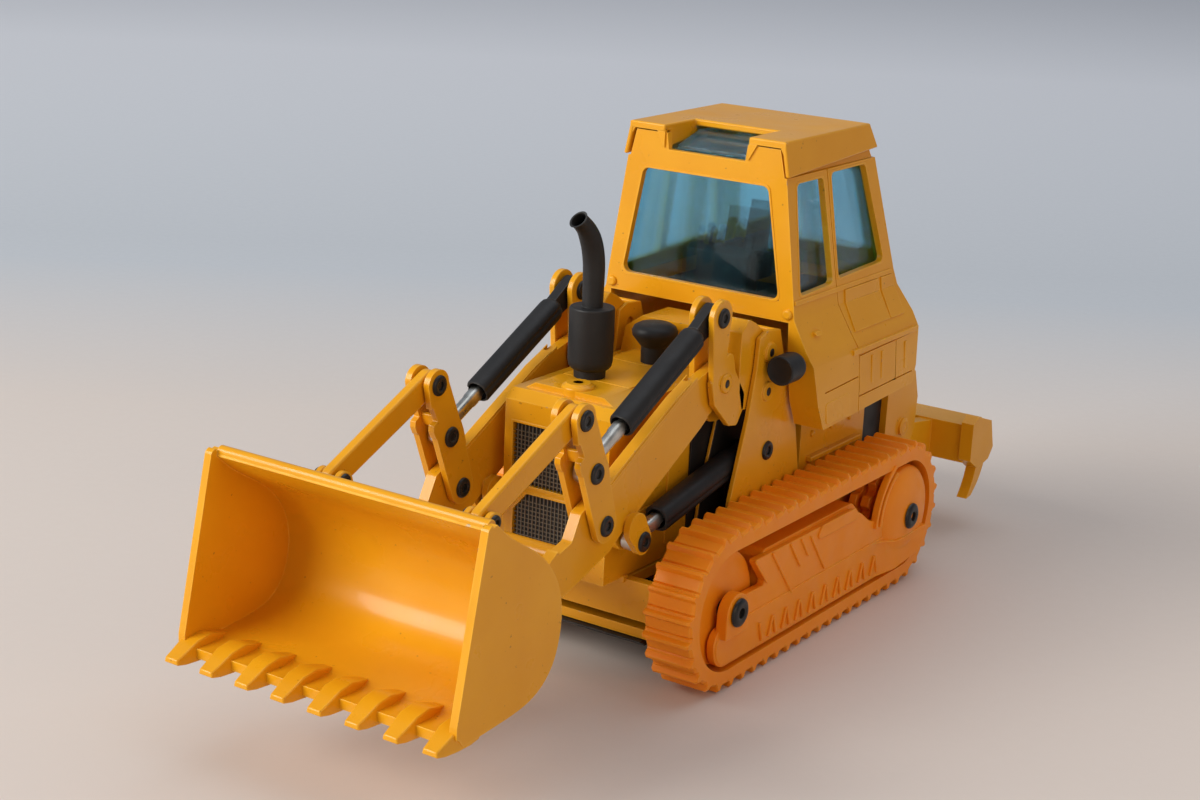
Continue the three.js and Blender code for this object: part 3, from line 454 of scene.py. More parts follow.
def arc(centre, radius, start, end, steps):
    """Points on an arc, in degrees, ends included."""
    angles = [math.radians(start + (end - start) * i / steps) for i in range(steps + 1)]
    return [(centre[0] + radius * math.cos(a), centre[1] + radius * math.sin(a)) for a in angles]


def rounded(corners, steps=6):
    """An outline from (y, z, radius) corners, each rounded by its radius."""
    outline = []
    count = len(corners)
    for i, (y, z, radius) in enumerate(corners):
        here = Vector((y, z))
        before = Vector(corners[i - 1][:2]) - here
        after = Vector(corners[(i + 1) % count][:2]) - here
        half = before.angle(after) / 2
        cut = min(radius / max(math.tan(half), 0.05), 0.48 * before.length, 0.48 * after.length)
        if radius == 0 or cut < 0.01:
            outline.append((y, z))
            continue
        reach = cut * math.tan(half)
        middle = here + (before.normalized() + after.normalized()).normalized() * (reach / math.sin(half))
        first = here + before.normalized() * cut - middle
        last = here + after.normalized() * cut - middle
        turn = first.angle_signed(last)
        for step in range(steps + 1):
            spun = first.copy()
            spun.rotate(Matrix.Rotation(-turn * step / steps, 2))
            outline.append(tuple(middle + spun))
    return outline


def even(points, radius):
    """An outline with every corner rounded alike."""
    return rounded([(y, z, radius) for y, z in points])


def strap_outline(a, ra, b, rb):
    """The outline around two discs and their outer tangents."""
    heading = math.degrees(math.atan2(b[1] - a[1], b[0] - a[0]))
    lean = math.degrees(math.acos((ra - rb) / math.dist(a, b)))
    return (arc(a, ra, heading + lean, heading - lean + 360, 20)
            + arc(b, rb, heading - lean, heading + lean, 14))


def both_layers(form, outline, side, layers=(INNER_CHEEK, OUTER_CHEEK)):
    """The same plate on both sides of the tongue."""
    for near, far in layers:
        add_plate(form, outline, near, far, side)


def smooth_line(points, steps=6):
    """A Catmull-Rom line through points, ends included."""
    line = []
    for i in range(len(points) - 1):
        p0, p1 = Vector(points[max(i - 1, 0)]), Vector(points[i])
        p2, p3 = Vector(points[i + 1]), Vector(points[min(i + 2, len(points) - 1)])
        for step in range(steps):
            t = step / steps
            line.append(tuple(0.5 * (2 * p1 + (p2 - p0) * t + (2 * p0 - 5 * p1 + 4 * p2 - p3) * t * t
                                     + (3 * p1 - p0 - 3 * p2 + p3) * t ** 3)))
    return line + [tuple(points[-1])]


# -------- rivets

def hollow_rivet(name, place, span, side, nodes=(), finish=RIVET, size=1.0, body="chassis"):
    """A tubular rivet through two cheeks, its rolled heads hollow in the middle."""
    inner, outer = span[0] - 0.04, span[1] + 0.04
    head = [(RIVET_WELL, 0.08), (RIVET_WELL, RIVET_THICK - 0.1), (0.78, RIVET_THICK),
            (1.0, RIVET_THICK), (1.24, RIVET_THICK * 0.85), (1.38, RIVET_THICK * 0.5), (RIVET_HEAD, 0.0)]
    head = [(radius * size, depth) for radius, depth in head]
    profile = [(0, inner - 0.08)] + [(r, inner - d) for r, d in head]
    profile += [(0.8, inner), (0.8, outer)]
    profile += [(r, outer + d) for r, d in reversed(head)] + [(0, outer + 0.08)]
    form = bmesh.new()
    add_turned(form, (0, *place), (side, 0, 0), profile, 32)
    from_form(form, name, finish, nodes, 0, 50, body)


def rivet_hole_shade(name, place, side, near, far):
    """A black disc in the middle of a painted rivet, painting the shade inside its hole."""
    form = bmesh.new()
    add_turned(form, (0, *place), (side, 0, 0), [
        (0, near), (RIVET_WELL, near), (RIVET_WELL, far - 0.06), (0.5, far), (0, far)], 24)
    from_form(form, name, RIVET, edge=0)


# -------- undercarriage

def belt_point(fraction, radius):
    """A point on the closed path around idler and sprocket."""
    run = SPROCKET[0] - IDLER[0]
    bend = math.pi * BELT_PLATE
    travel = (fraction % 1) * 2 * (run + bend)
    middle = IDLER[1]
    if travel < run:
        return (IDLER[0] + travel, middle - radius)
    if travel < run + bend:
        angle = -math.pi / 2 + (travel - run) / BELT_PLATE
        return (SPROCKET[0] + radius * math.cos(angle), middle + radius * math.sin(angle))
    if travel < 2 * run + bend:
        return (SPROCKET[0] - (travel - run - bend), middle + radius)
    angle = math.pi / 2 + (travel - 2 * run - bend) / BELT_PLATE
    return (IDLER[0] + radius * math.cos(angle), middle + radius * math.sin(angle))


def track_belt(name, side):
    """One moulded loop: each shoe is a flat plate with a rounded ridge, and has a small lug inside."""
    shoe = [(0.0, 10.45), (0.05, 10.7), (0.15, 10.8), (0.2, 11.25), (0.24, 11.54), (0.29, 11.6),
            (0.36, 11.58), (0.41, 11.35), (0.48, 10.9), (0.6, 10.78), (0.94, 10.7)]
    steps = [((number + step) / SHOES, radius) for number in range(SHOES) for step, radius in shoe]
    near, far = BELT_X
    form = bmesh.new()
    rings = []
    for x, drop in ((near, 0.3), (near + 0.3, 0.0), (far - 0.35, 0.0), (far, 0.35)):
        rings.append([at(side * x, *belt_point(f, r - drop)) for f, r in steps])
    for x in (far, near):
        rings.append([at(side * x, *belt_point(f, BELT_INNER)) for f, _ in steps])
    rings.append(rings[0])
    add_loft(form, rings, close_ends=False)
    for number in range(SHOES):
        lug = [belt_point((number + step) / SHOES, radius)
               for step, radius in ((0.2, 8.75), (0.8, 8.75), (0.65, 8.3), (0.35, 8.3))]
        add_plate(form, lug, 15.15, 15.75, side)
    merge_close(form)
    from_form(form, f"belt_moulding_{name}", ORANGE, [f"track_belt_{name}"], 0, 30)


def track_frame(name, side):
    """The cover between the belt's runs: skirt, housing, idler boss, hub cover, ribs and strokes."""
    form = bmesh.new()
    skirt = rounded([
        (-10.9, 9.4, 2.2), (-10.2, 3.7, 4.5), (44.0, 3.5, 2), (50.6, 4.4, 3.5), (53.4, 8.6, 3),
        (53.4, 12.2, 1), (38.5, 12.4, 1), (34.2, 13.6, 1), (31.2, 15.6, 1), (28.4, 16.9, 1),
        (-0.8, 17.1, 0.3), (2.9, 12.7, 0.5), (-3.8, 12.8, 0.4), (-3.8, 9.8, 0.6)])
    lower = rounded([(-10.6, 8.6, 2.2), (-9.8, 4.0, 3.2), (44.0, 3.7, 2), (50.4, 4.7, 3),
                     (52.6, 9.3, 1.2), (38.0, 9.8, 1), (-4.0, 9.6, 1)])
    housing = rounded([(2.6, 4.2, 0.4), (36.6, 4.2, 0.4), (36.6, 11.6, 2), (29.6, 17.5, 2),
                       (3.4, 17.5, 0.8), (2.6, 16.4, 0.4)])
    shelf = rounded([(16.8, 15.2, 0.8), (30.4, 15.2, 0.8), (28.6, 17.2, 1), (18.4, 17.2, 1)])
    boss = arc((IDLER[0], IDLER[1] - 0.2), 2.9, 0, 180, 20)
    boss += [(IDLER[0] - 2.9, 8.2), (IDLER[0] + 2.9, 8.2)]
    for outline, near, far in ((skirt, 21.0, 22.2), (lower, 22.1, 22.36), (housing, 15.8, 21.3),
                               (shelf, 22.1, 22.5), (boss, 21.6, 23.3)):
        add_plate(form, outline, near, far, side)
    add_turned(form, (0, *SPROCKET), (side, 0, 0), [
        (0, 20.9), (7.75, 20.9), (7.75, 21.6), (7.55, 22.0), (7.1, 22.4), (6.3, 22.75), (5.0, 23.05),
        (3.0, 23.3), (0, 23.4)], 56)
    ribs = [((-0.7, 16.9), (2.8, 13.0)), ((4.1, 16.8), (10.4, 9.2)), ((9.3, 16.7), (12.3, 12.8)),
            ((12.4, 16.6), (14.6, 13.7)), ((15.3, 16.2), (20.0, 10.2))]
    for top, foot in ribs:
        add_plate(form, strap_outline(top, 0.2, foot, 0.17), 22.1, 22.5, side)
    for number in range(STROKES):
        y = 2.0 + number * STROKE_PITCH
        lean = 0.8 if number % 2 else -0.8
        stroke = strap_outline((y, 4.7), 0.19, (y + lean, 7.3), 0.17)
        add_plate(form, stroke, 22.3, 22.72, side)
    for radius in (8.5, 9.9):
        band = arc(SPROCKET, radius, 118, 178, 16) + arc(SPROCKET, radius + 0.55, 178, 118, 16)
        add_plate(form, band, 21.6, 22.75, side)
    start = 35.0
    foot = [(start, 3.9), (42.0, 3.9), (49.6, 4.6), (51.6, 6.4), (52.2, 8.6), (42.0, 8.6), (38.4, 9.4),
            (start, 9.6)]
    rings = []
    for bulge in (0.0, 1.15):
        swell = [bulge * min((y - start) / 7.0, 1.0) for y, _ in foot]
        rings.append([at(side * (22.2 + out), y, z) for out, (y, z) in zip(swell, foot)])
    add_loft(form, rings)
    from_form(form, f"side_frame_{name}", ORANGE, [f"track_frame_{name}"])


def idler(name, side):
    form = bmesh.new()
    add_turned(form, (0, *IDLER), (side, 0, 0), [
        (1.4, 16.0), (7.0, 16.0), (7.9, 16.5), (8.2, 17.1), (8.2, 19.9), (8.0, 20.4), (7.6, 20.6),
        (1.4, 20.6)], 64)
    from_form(form, f"idler_wheel_{name}", ORANGE, [f"idler_{name}"], 0, body=f"idler_{name}")


def sprocket(name, side):
    """Two toothed rings on one hub."""
    form = bmesh.new()
    tooth = [(0.0, 7.0), (0.14, 6.9), (0.30, 7.15), (0.42, 8.0), (0.5, 8.18), (0.80, 8.18), (0.88, 8.0)]
    outline = []
    for number in range(SPROCKET_TEETH):
        for step, radius in tooth:
            angle = (number + step) * 2 * math.pi / SPROCKET_TEETH
            outline.append((SPROCKET[0] + radius * math.cos(angle), SPROCKET[1] + radius * math.sin(angle)))
    for near, far in ((16.3, 17.5), (18.3, 19.7)):
        add_plate(form, outline, near, far, side)
    add_turned(form, (0, *SPROCKET), (side, 0, 0), [
        (0, 16.0), (4.4, 16.0), (4.6, 16.3), (6.2, 17.3), (6.2, 18.6), (4.6, 20.2), (4.4, 20.5), (0, 20.6)])
    from_form(form, f"sprocket_wheel_{name}", ORANGE, [f"sprocket_{name}"], 0.12, body=f"sprocket_{name}")


def axles():
    """A riveted axle through both sides, for the idlers and for the sprockets."""
    for name, place in (("front_axle", IDLER), ("rear_axle", SPROCKET)):
        form = bmesh.new()
        end = [(0, 23.35), (0.7, 23.35), (0.78, 23.9), (1.05, 24.0), (1.6, 23.95), (1.95, 23.75),
               (2.05, 23.5)]
        profile = [(r, -d) for r, d in end] + [(1.3, -23.5), (1.3, 23.5)] + end[::-1]
        add_turned(form, (0, *place), (1, 0, 0), profile)
        from_form(form, f"{name}_rivet", RIVET, [name], 0, 50)


for side_name, side_sign in SIDES.items():
    track_belt(side_name, side_sign)
    track_frame(side_name, side_sign)
    idler(side_name, side_sign)
    sprocket(side_name, side_sign)
axles()

# -------- chassis and ripper

def chassis_fittings():
    """The front guard bar, and on each side a step, a ledge and three bolts between them."""
    form = bmesh.new()
    bar = [(-9.0, 14.2), (9.0, 14.2), (9.0, 15.2), (-9.0, 15.2)]
    add_front_plate(form, even(bar, 0.3), -13.4, -12.2)
    bolt = [(0, 0), (0.55, 0), (0.55, 0.3), (0.35, 0.5), (0, 0.5)]
    for side in SIDES.values():
        add_box(form, (13.0, 14.2), (29.0, 45.0), (22.4, 23.2), side)
        add_box(form, (13.0, 13.6), (28.2, 46.4), (29.2, 30.0), side)
        for y in (30.5, 36.5, 42.5):
            add_turned(form, (side * 13.1, y, 26.4), (side, 0, 0), bolt, 20)
    from_form(form, "chassis_fittings", YELLOW)


def painted_shade_panels():
    """Thin black panels beside the hood, inside the towers and behind the cab: painted shade, dark sheets
    where those places lie in deep shadow.
    """
    form = bmesh.new()
    inner_tower = [(3.5, 15.2), (22.0, 15.2), (18.0, 32.8), (8.0, 32.8), (4.8, 22.8)]
    for side in SIDES.values():
        add_box(form, (8.62, 8.9), (2.6, 16.2), (15.2, 33.4), side)
        add_box(form, (12.62, 12.9), (47.7, 54.2), (15.4, 30.2), side)
        # A black sheet over the tower's yellow inner plate, painting the shade on it.
        add_plate(form, inner_tower, 9.5, 9.74, side)
    from_form(form, "painted_shade_panels", BLACK, edge=0.05)


from_cad("chassis_frame", "chassis_casting", YELLOW)
from_cad("belly_plate", "belly_cover", BLACK)
from_cad("ripper_bracket", "ripper_mount", YELLOW, 0.25)
from_cad("ripper", "ripper_frame", YELLOW, 0.3, body="ripper")
chassis_fittings()
painted_shade_panels()
for side_name, side_sign in SIDES.items():
    hollow_rivet(f"ripper_pivot_head_{side_name}", RIPPER_PIVOT, (13.8, 14.15), side_sign, finish=YELLOW)

# -------- hood

def hood():
    """The hood's casting with two long and two cross panel lines cut in its top."""
    cuts = bmesh.new()
    for side in (-1, 1):
        add_box(cuts, (5.5, 5.7), (-9.0, 9.0), HOOD_LINE_Z, side)
    for y in (-9.0, 2.4):
        add_box(cuts, (-5.7, 5.7), (y, y + 0.2), HOOD_LINE_Z)
    from_cad("engine_hood", "hood_casting", YELLOW, 0.28, cuts)


def grille_mesh():
    """Upright and level wires over both windows, shortened at the cut corners."""
    form = bmesh.new()
    front = HOOD_FRONT + 0.28
    back = front + 0.25
    half_wire = GRILLE_WIRE / 2
    for (width, low, high), (across, down) in GRILLE_WINDOWS:
        for i in range(1, int(2 * width / GRILLE_PITCH)):
            x = i * GRILLE_PITCH - width
            past_corner = max(abs(x) - (width - across), 0)
            top = high - (past_corner * down / across if across else 0)
            add_box(form, (x - half_wire, x + half_wire), (front, back), (low, top))
        for i in range(1, int((high - low) / GRILLE_PITCH)):
            z = low + i * GRILLE_PITCH
            past_corner = max(z - (high - down), 0)
            half = width - (past_corner * across / down if down else 0)
            add_box(form, (-half, half), (front + 0.06, back), (z - half_wire, z + half_wire))
    from_form(form, "grille_mesh", MESH_WIRE, edge=0)


def grille_frame():
    """A thin raised rim round each window."""
    form = bmesh.new()
    for (width, low, high), (across, down) in GRILLE_WINDOWS:
        right = [(width, low), (width, high - down)]
        if across:
            right.append((width - across, high))
        outline = [(-width, low)] + right + [(-x, z) for x, z in right[:0:-1]]
        middle = (outline[0][1] + outline[2][1]) / 2
        rings = []
        for grow, depth in ((0.0, 0.5), (0.0, -0.06), (0.28, -0.06), (0.42, 0.05)):
            rings.append([at(x + math.copysign(grow, x), HOOD_FRONT + depth,
                             z + math.copysign(grow, z - middle)) for x, z in outline])
        add_loft(form, rings + rings[:1], close_ends=False)
        merge_close(form)
    from_form(form, "grille_frame", YELLOW, edge=0.04)


def hood_fittings():
    """The filler cap, the louvres and the side panels behind them."""
    form = bmesh.new()
    add_turned(form, (0, -13.2, 40.2), (0, 0, 1), [
        (0, -1), (2.3, -1), (2.3, 0.25), (2.1, 0.5), (1.5, 0.78), (0.7, 0.8), (0, 0.8)])
    for side in SIDES.values():
        for z in (20.0, 23.0, 26.0, 29.0):
            add_box(form, (8.5, 8.85), (-12.5, -4.5), (z, z + 0.8), side)
        add_box(form, (8.5, 8.8), (-3.0, 2.0), (17.0, 36.4), side)
    from_form(form, "hood_fittings", YELLOW, edge=0.1)


def exhaust():
    """The muffler and its stack, which bends forward and has a slanted, hollow tip."""
    x, y = EXHAUST_PLACE
    form = bmesh.new()
    add_turned(form, (x, y, 0), (0, 0, 1), [
        (0, 40.3), (2.2, 40.3), (2.25, 41.4), (2.7, 41.6), (3.0, 42.0), (3.15, 42.8), (3.15, 49.95),
        (3.0, 50.2), (0, 50.2)], 48)
    line = [Vector(point) for point in smooth_line([
        (x, y, 49.6), (x, y, 53.6), (x, y - 0.15, 56.6), (x, y - 0.9, 59.2), (x, y - 2.3, 61.3),
        (x, y - 4.3, 62.9)])]
    last = len(line) - 1
    across = Vector((1, 0, 0))
    rings = []
    for i, centre in enumerate(line):
        ahead = (line[min(i + 1, last)] - line[max(i - 1, 0)]).normalized()
        up = across.cross(ahead)
        radius = 1.42 + 0.12 * math.sin(math.pi * min(i / 26, 1)) - 0.25 * max(i - 20, 0) / 10
        slant = Vector((0, -1, 0)) * (0.55 if i == last else 0)
        rings.append([centre + across * (radius * c) + up * (radius * s) + slant * s
                      for c, s in circle(STACK_STEPS)])
    rim = rings[-1]
    middle = sum(rim, Vector()) / STACK_STEPS
    tail = (line[-1] - line[-2]).normalized()
    for shrink, sink in ((0.8, 0.0), (0.74, 0.5), (0.7, 2.4)):
        rings.append([middle + (point - middle) * shrink - tail * sink for point in rim])
    add_loft(form, [[at(*point) for point in ring] for ring in rings])
    from_form(form, "exhaust_stack", BLACK, ["exhaust"], 0.08)


def precleaner():
    form = bmesh.new()
    add_turned(form, PRECLEANER_PLACE, (0, 0, 1), [
        (0, 40.2), (1.85, 40.2), (1.9, 42.6), (2.4, 43.2), (3.2, 44.2), (3.3, 44.9), (3.0, 45.5),
        (2.3, 45.9), (0, 46.0)], 48)
    from_form(form, "intake_cap", BLACK, ["precleaner"], 0)


hood()
from_cad("grille_insert", "grille_backing", BLACK, 0.05)
grille_mesh()
grille_frame()
hood_fittings()
exhaust()
precleaner()

# -------- cab

def wall(low, high):
    """How far out the cab's side wall stands at a height, between two (z, x) points."""
    return lambda z: low[1] + (z - low[0]) * (high[1] - low[1]) / (high[0] - low[0])


def window_outline(corners, inset, radius):
    """The corners moved inward and rounded."""
    count = len(corners)
    moved = []
    for i in range(count):
        here = Vector(corners[i])
        before = (Vector(corners[i - 1]) - here).normalized()
        after = (Vector(corners[(i + 1) % count]) - here).normalized()
        spread = math.sin(before.angle(after))
        moved.append((*(here + (before + after) * (inset / spread)), radius))
    return rounded(moved, 5)


def add_rim(form, corners, outside, inside, near, far, place):
    """A flat frame between two outlines of the same corners, each given by its inset and radius."""
    outer = window_outline(corners, *outside)
    inner = window_outline(corners, *inside)
    rings = [[place(depth, a, b) for a, b in outline]
             for outline, depth in ((inner, near), (outer, near), (outer, far), (inner, far))]
    add_loft(form, rings + rings[:1], close_ends=False)
    merge_close(form)


def window_frames():
    """A thin moulded rim round each window, which also rounds its corners."""
    form = bmesh.new()
    front = [(-13.4, 49.3), (13.4, 49.3), (10.5, 65.4), (-10.5, 65.4)]
    rear = [(-11.6, 51.5), (11.6, 51.5), (10.2, 65.0), (-10.2, 65.0)]
    sides = [[(18.8, 49.9), (28.9, 50.2), (27.6, 65.9), (19.6, 65.9)],
             [(30.4, 50.6), (45.2, 51.0), (40.6, 66.3), (29.8, 66.3)]]
    back = wall((WAIST[0], 48.3), (EAVES[0], 43.9))
    face = wall(WAIST, EAVES)
    add_rim(form, front, (-0.22, 0.9), (0.06, 1.1), CAB_FRONT - 0.56, CAB_FRONT + 0.5,
            lambda y, x, z: at(x, y, z))
    add_rim(form, rear, (-0.3, 0.9), (0.4, 1.2), 0.07, -0.9, lambda out, x, z: at(x, back(z) + out, z))
    for side in SIDES.values():
        for window in sides:
            add_rim(form, window, (-0.16, 0.7), (0.12, 0.9), 0.08, -0.9,
                    lambda out, y, z: at(side * (face(z) + out), y, z))
    from_form(form, "window_frames", YELLOW, edge=0.05)


def cab_shell():
    """The cab's casting with a door seam down each side and panel lines below its crease."""
    cuts = bmesh.new()
    walls = [EAVES, WAIST, SHOULDER, HIP, CREASE, SKIRT]
    seam = [28.7, 29.7, 30.1, 31.0, 31.3, 31.6]
    lines = []
    for i, (top, foot) in enumerate(zip(walls, walls[1:])):
        high, low = top[0] + 0.1, foot[0] - 0.1
        lines.append((foot, top, [(seam[i + 1], low), (seam[i + 1] + SEAM_WIDTH, low),
                                  (seam[i] + SEAM_WIDTH, high), (seam[i], high)]))
    for front, rear, z in ((31.6, 50.4, 39.4), (31.6, 49.4, 33.2), (21.0, 31.3, 35.9)):
        lines.append((SKIRT, CREASE, [(front, z), (rear, z + 0.4), (rear, z + 0.4 + SEAM_WIDTH),
                                      (front, z + SEAM_WIDTH)]))
    upright = [(43.4, 33.4), (43.4 + SEAM_WIDTH, 33.4), (43.4 + SEAM_WIDTH, 39.6), (43.4, 39.6)]
    lines.append((SKIRT, CREASE, upright))
    for side in SIDES.values():
        for low, high, outline in lines:
            add_plate(cuts, outline, -SEAM_DEPTH, 1.5, side, wall(low, high))
    from_cad("cab_body", "cab_casting", YELLOW, 0.2, cuts)


def cab_fittings():
    """On each side: slats, step, quarter panels, door handle, gutters, corner bolt and rear lamp."""
    form = bmesh.new()
    lower_wall = wall(SKIRT, CREASE)
    hip_wall = wall(HIP, SHOULDER)
    shoulder_wall = wall(SHOULDER, WAIST)
    step = even([(21.6, 31.2), (28.8, 31.2), (28.4, 34.6), (21.2, 34.4)], 0.5)
    handle = even([(20.6, 44.2), (22.4, 44.2), (22.4, 44.8), (20.6, 44.8)], 0.25)
    gutter = even([(17.2, 48.9), (47.4, 48.9), (47.2, 49.6), (17.2, 49.6)], 0.2)
    bolt = [(0, 0), (0.75, 0), (0.75, 0.75), (0.5, 0.95), (0, 0.95)]
    lamp_pad = [(0, 0), (1.3, 0), (1.3, 2.2), (1.1, 2.5), (0, 2.5)]
    crease = wall(CREASE, HIP)(CREASE[0])
    for side in SIDES.values():
        for y in (35.4, 38.6, 46.4):
            slat = even([(y, 34.6), (y + 0.7, 34.6), (y + 0.7, 38.9), (y, 38.9)], 0.2)
            add_plate(form, slat, -0.3, 0.2, side, lower_wall)
        add_plate(form, step, -0.3, 0.16, side, lower_wall)
        for front, rear in ((32.2, 43.2), (43.8, 48.0)):
            panel = [(front, 42.8), (rear + 0.4, 42.8), (rear, 46.9), (front, 46.9)]
            add_plate(form, panel, -0.3, 0.22, side, hip_wall)
            panel = [(front, 46.9), (rear, 46.9), (rear - 0.4, 48.8), (front, 48.8)]
            add_plate(form, panel, -0.3, 0.22, side, shoulder_wall)
        add_plate(form, handle, -0.2, 0.55, side, hip_wall)
        add_box(form, (crease - 0.5, crease + 0.28), (29.4, 50.6), (39.9, 40.7), side)
        add_plate(form, gutter, -0.4, 0.2, side, wall(WAIST, EAVES))
        add_turned(form, (side * 15.0, CAB_FRONT, 47.6), (0, -1, 0), bolt, 24)
        add_turned(form, (side * 11.2, 48.0, 45.8), (0, 1, 0), lamp_pad, 28)
    from_form(form, "cab_fittings", YELLOW, edge=0.07)


def roof_fittings():
    """Front lips beside the notch, each with a gusset at either end."""
    form = bmesh.new()
    lip = ([(7.2, 71.0), (13.0, 71.0), (13.0, 71.9), (7.2, 71.9)], 16.62, CAB_FRONT)
    outer_gusset = ([(13.6, 68.4), (12.9, 71.4), (11.9, 71.4)], 16.7, 17.3)
    inner_gusset = ([(7.0, 68.6), (7.0, 71.4), (8.6, 71.4)], 16.7, 17.3)
    for side in SIDES.values():
        for outline, rear, front in (lip, outer_gusset, inner_gusset):
            add_front_plate(form, [(side * x, z) for x, z in outline], rear, front)
    from_form(form, "roof_lips", YELLOW, edge=0.08)


def seat_details():
    """The seat's cushion and back, and the knobs of three levers."""
    form = bmesh.new()
    add_box(form, (-3.4, 3.4), (28.8, 36.4), (50.4, 51.6))
    back = even([(36.0, 51.4), (37.4, 51.2), (38.8, 58.4), (37.0, 59.2), (35.8, 55.0)], 0.6)
    add_plate(form, back, -3.1, 3.1)
    knob = [(0, -0.6), (0.5, -0.4), (0.72, 0.1), (0.5, 0.6), (0, 0.75)]
    for x in (-3.6, -1.6, 3.6):
        add_turned(form, (x, 25.9, 56.2), (0, 0.4, 1), knob, 20)
    from_form(form, "seat_pads", BLACK, edge=0.4)


from_cad("cab_roof", "roof_casting", YELLOW, 0.22)
from_cad("cab_glazing", "glazing_moulding", GLASS, 0.12)
from_cad("operator_seat", "cab_interior", BLACK, 0.3)
window_frames()
cab_shell()
cab_fittings()
roof_fittings()
seat_details()

# -------- loader frame

def lamp(name, side):
    """A work lamp's bowl and the stub that holds it on the tower."""
    form = bmesh.new()
    add_turned(form, (side * 17.3, 11.4, 40.8), (0, 1, 0), [
        (0, 0.35), (1.2, 0.3), (1.75, 0.12), (2.0, 0.0), (2.15, 0.25), (2.15, 3.4), (2.0, 4.1),
        (1.5, 4.6), (0, 4.7)], 48)
    add_box(form, (14.7, 16.0), (13.0, 14.6), (39.3, 40.7), side)
    from_form(form, f"lamp_{name}", BLACK, [f"work_lamp_{name}"], 0.1)


def tower(name, side):
    from_cad(f"loader_tower_{name}", f"tower_{name}", YELLOW, 0.16)
    for number, place in enumerate(TOWER_RIVETS):
        # Black discs that paint the shade in the holes of the tower's painted rivets.
        rivet_hole_shade(f"tower_rivet_{number + 1}_{name}", place, side, 14.5, 14.98)


def fork(name, side):
    """The bracket that holds the tilt cylinder: two cheeks on a thick stem."""
    form = bmesh.new()
    cheek = arc(TILT_BASE, 2.5, 5, 175, 24)
    cheek += rounded([(-0.8, 40.8, 0.6), (0.2, 37.4, 0.8), (4.4, 33.6, 0.7), (6.6, 33.2, 0.7),
                      (8.2, 35.4, 0.7), (8.3, 37.6, 0.8), (5.4, 41.4, 1.5), (4.2, 45.2, 1.5)])
    both_layers(form, cheek, side)
    stem = rounded([(6.6, 46.6, 0.6), (8.4, 48.2, 0.8), (10.4, 47.3, 1), (14.0, 44.8, 1.5), (15.3, 42.6, 1),
                    (15.1, 35.6, 1), (12.6, 34.6, 1), (7.6, 35.2, 0.5), (6.7, 38.0, 0.5), (6.5, 42.6, 0.5)])
    add_plate(form, stem, *CHEEKS, side)
    from_form(form, f"fork_{name}", YELLOW, [f"fork_bracket_{name}"], 0.2)


def lift_arm(name, side):
    """The arm's blade, a ridge along its top on both faces, and the lugs of the lift cylinder."""
    form = bmesh.new()
    blade = arc(ARM_PIVOT, 3.1, -60, 75, 16)
    blade += rounded([(-0.7, 42.9, 1), (-8.1, 40.0, 2), (-24.0, 31.7, 2), (-29.8, 29.4, 1),
                      (-31.6, 26.0, 0.8), (-37.0, 24.4, 2)])
    blade += arc(BUCKET_PIVOT, 2.3, 60, 250, 18)
    blade += rounded([(-39.0, 16.9, 1), (-34.0, 18.8, 2), (-29.0, 20.3, 2), (-22.6, 22.4, 1.5),
                      (-20.4, 23.9, 0.8), (-13.4, 27.8, 1), (-1.3, 34.3, 2), (2.0, 36.4, 1)])
    add_plate(form, blade, *TONGUE, side)
    both_layers(form, strap_outline((-17.9, 24.5), 2.1, LIFT_END, 1.85), side)
    spacer = strap_outline((-18.6, 25.4), 0.9, (-17.6, 25.6), 0.9)
    add_plate(form, spacer, *SPACER, side)
    top = smooth_line([(-3.0, 42.0), (-8.1, 39.6), (-16.0, 35.5), (-24.0, 31.2)], 3)
    ridge = top + [(y, z - 0.7) for y, z in reversed(top)]
    for near, far in ((TONGUE[0] - 0.12, TONGUE[0] + 0.05), (TONGUE[1] - 0.05, TONGUE[1] + 0.12)):
        add_plate(form, ridge, near, far, side)
    from_form(form, f"arm_{name}", YELLOW, [f"lift_arm_{name}"], 0.18, body="lift_arms")


def side_section(centre, run, side, points):
    """A cross-section at right angles to a run in the side plane, from (sideways, upward) points."""
    across = Vector((side, 0, 0))
    up = across.cross(run)
    return [at(*(centre + across * wide + up * high)) for wide, high in points]


def eye_strap(form, side, pin, run, reach, radius, neck, gap):
    """The flat eye on a pin, narrowing along the run to the neck, with a gap to both cheeks."""
    end = (pin[0] + run.y * reach, pin[1] + run.z * reach)
    add_plate(form, strap_outline(pin, radius, end, neck), TONGUE[0] + gap, TONGUE[1] - gap, side)


def cylinder(kind, name, side):
    """A barrel: a squared-off tube with a groove on each side, open at the mouth, and a flat eye."""
    form = bmesh.new()
    base, end, radius, length, _, _ = CYLINDERS[kind]
    run = Vector((0, end[0] - base[0], end[1] - base[1])).normalized()
    start = Vector((side * LINKAGE_X, *base))
    steps = 48
    grooved = (1, 2, steps // 2 - 1, steps // 2 - 2)
    rings = []
    for distance, size, shaped in (
            (4.3, radius - 0.7, 0.4), (4.5, radius - 0.3, 0.8), (5.0, radius - 0.06, 1), (5.6, radius, 1),
            (length - 0.25, radius, 1), (length, radius - 0.12, 1), (length, BORE + 0.02, 0),
            (length - 0.5, BORE, 0), (length - 18.0, BORE, 0)):
        points = []
        for i, (c, s) in enumerate(circle(steps)):
            square = (abs(c) ** 3.2 + abs(s) ** 3.2) ** (-1 / 3.2)
            reach = size * (1 + shaped * (square - 1) * 0.55)
            groove = 0.16 * shaped if i in grooved else 0.0
            points.append(((reach - groove) * c, reach * s))
        rings.append(side_section(start + run * distance, run, side, points))
    add_loft(form, rings)
    eye_strap(form, side, base, run, 5.0, 1.75, 1.3, 0.05)
    cad_name = f"{kind}_barrel_{name}"
    from_form(form, f"{kind}_cylinder_{name}", BLACK, [cad_name], 0.08, 45, cad_name)


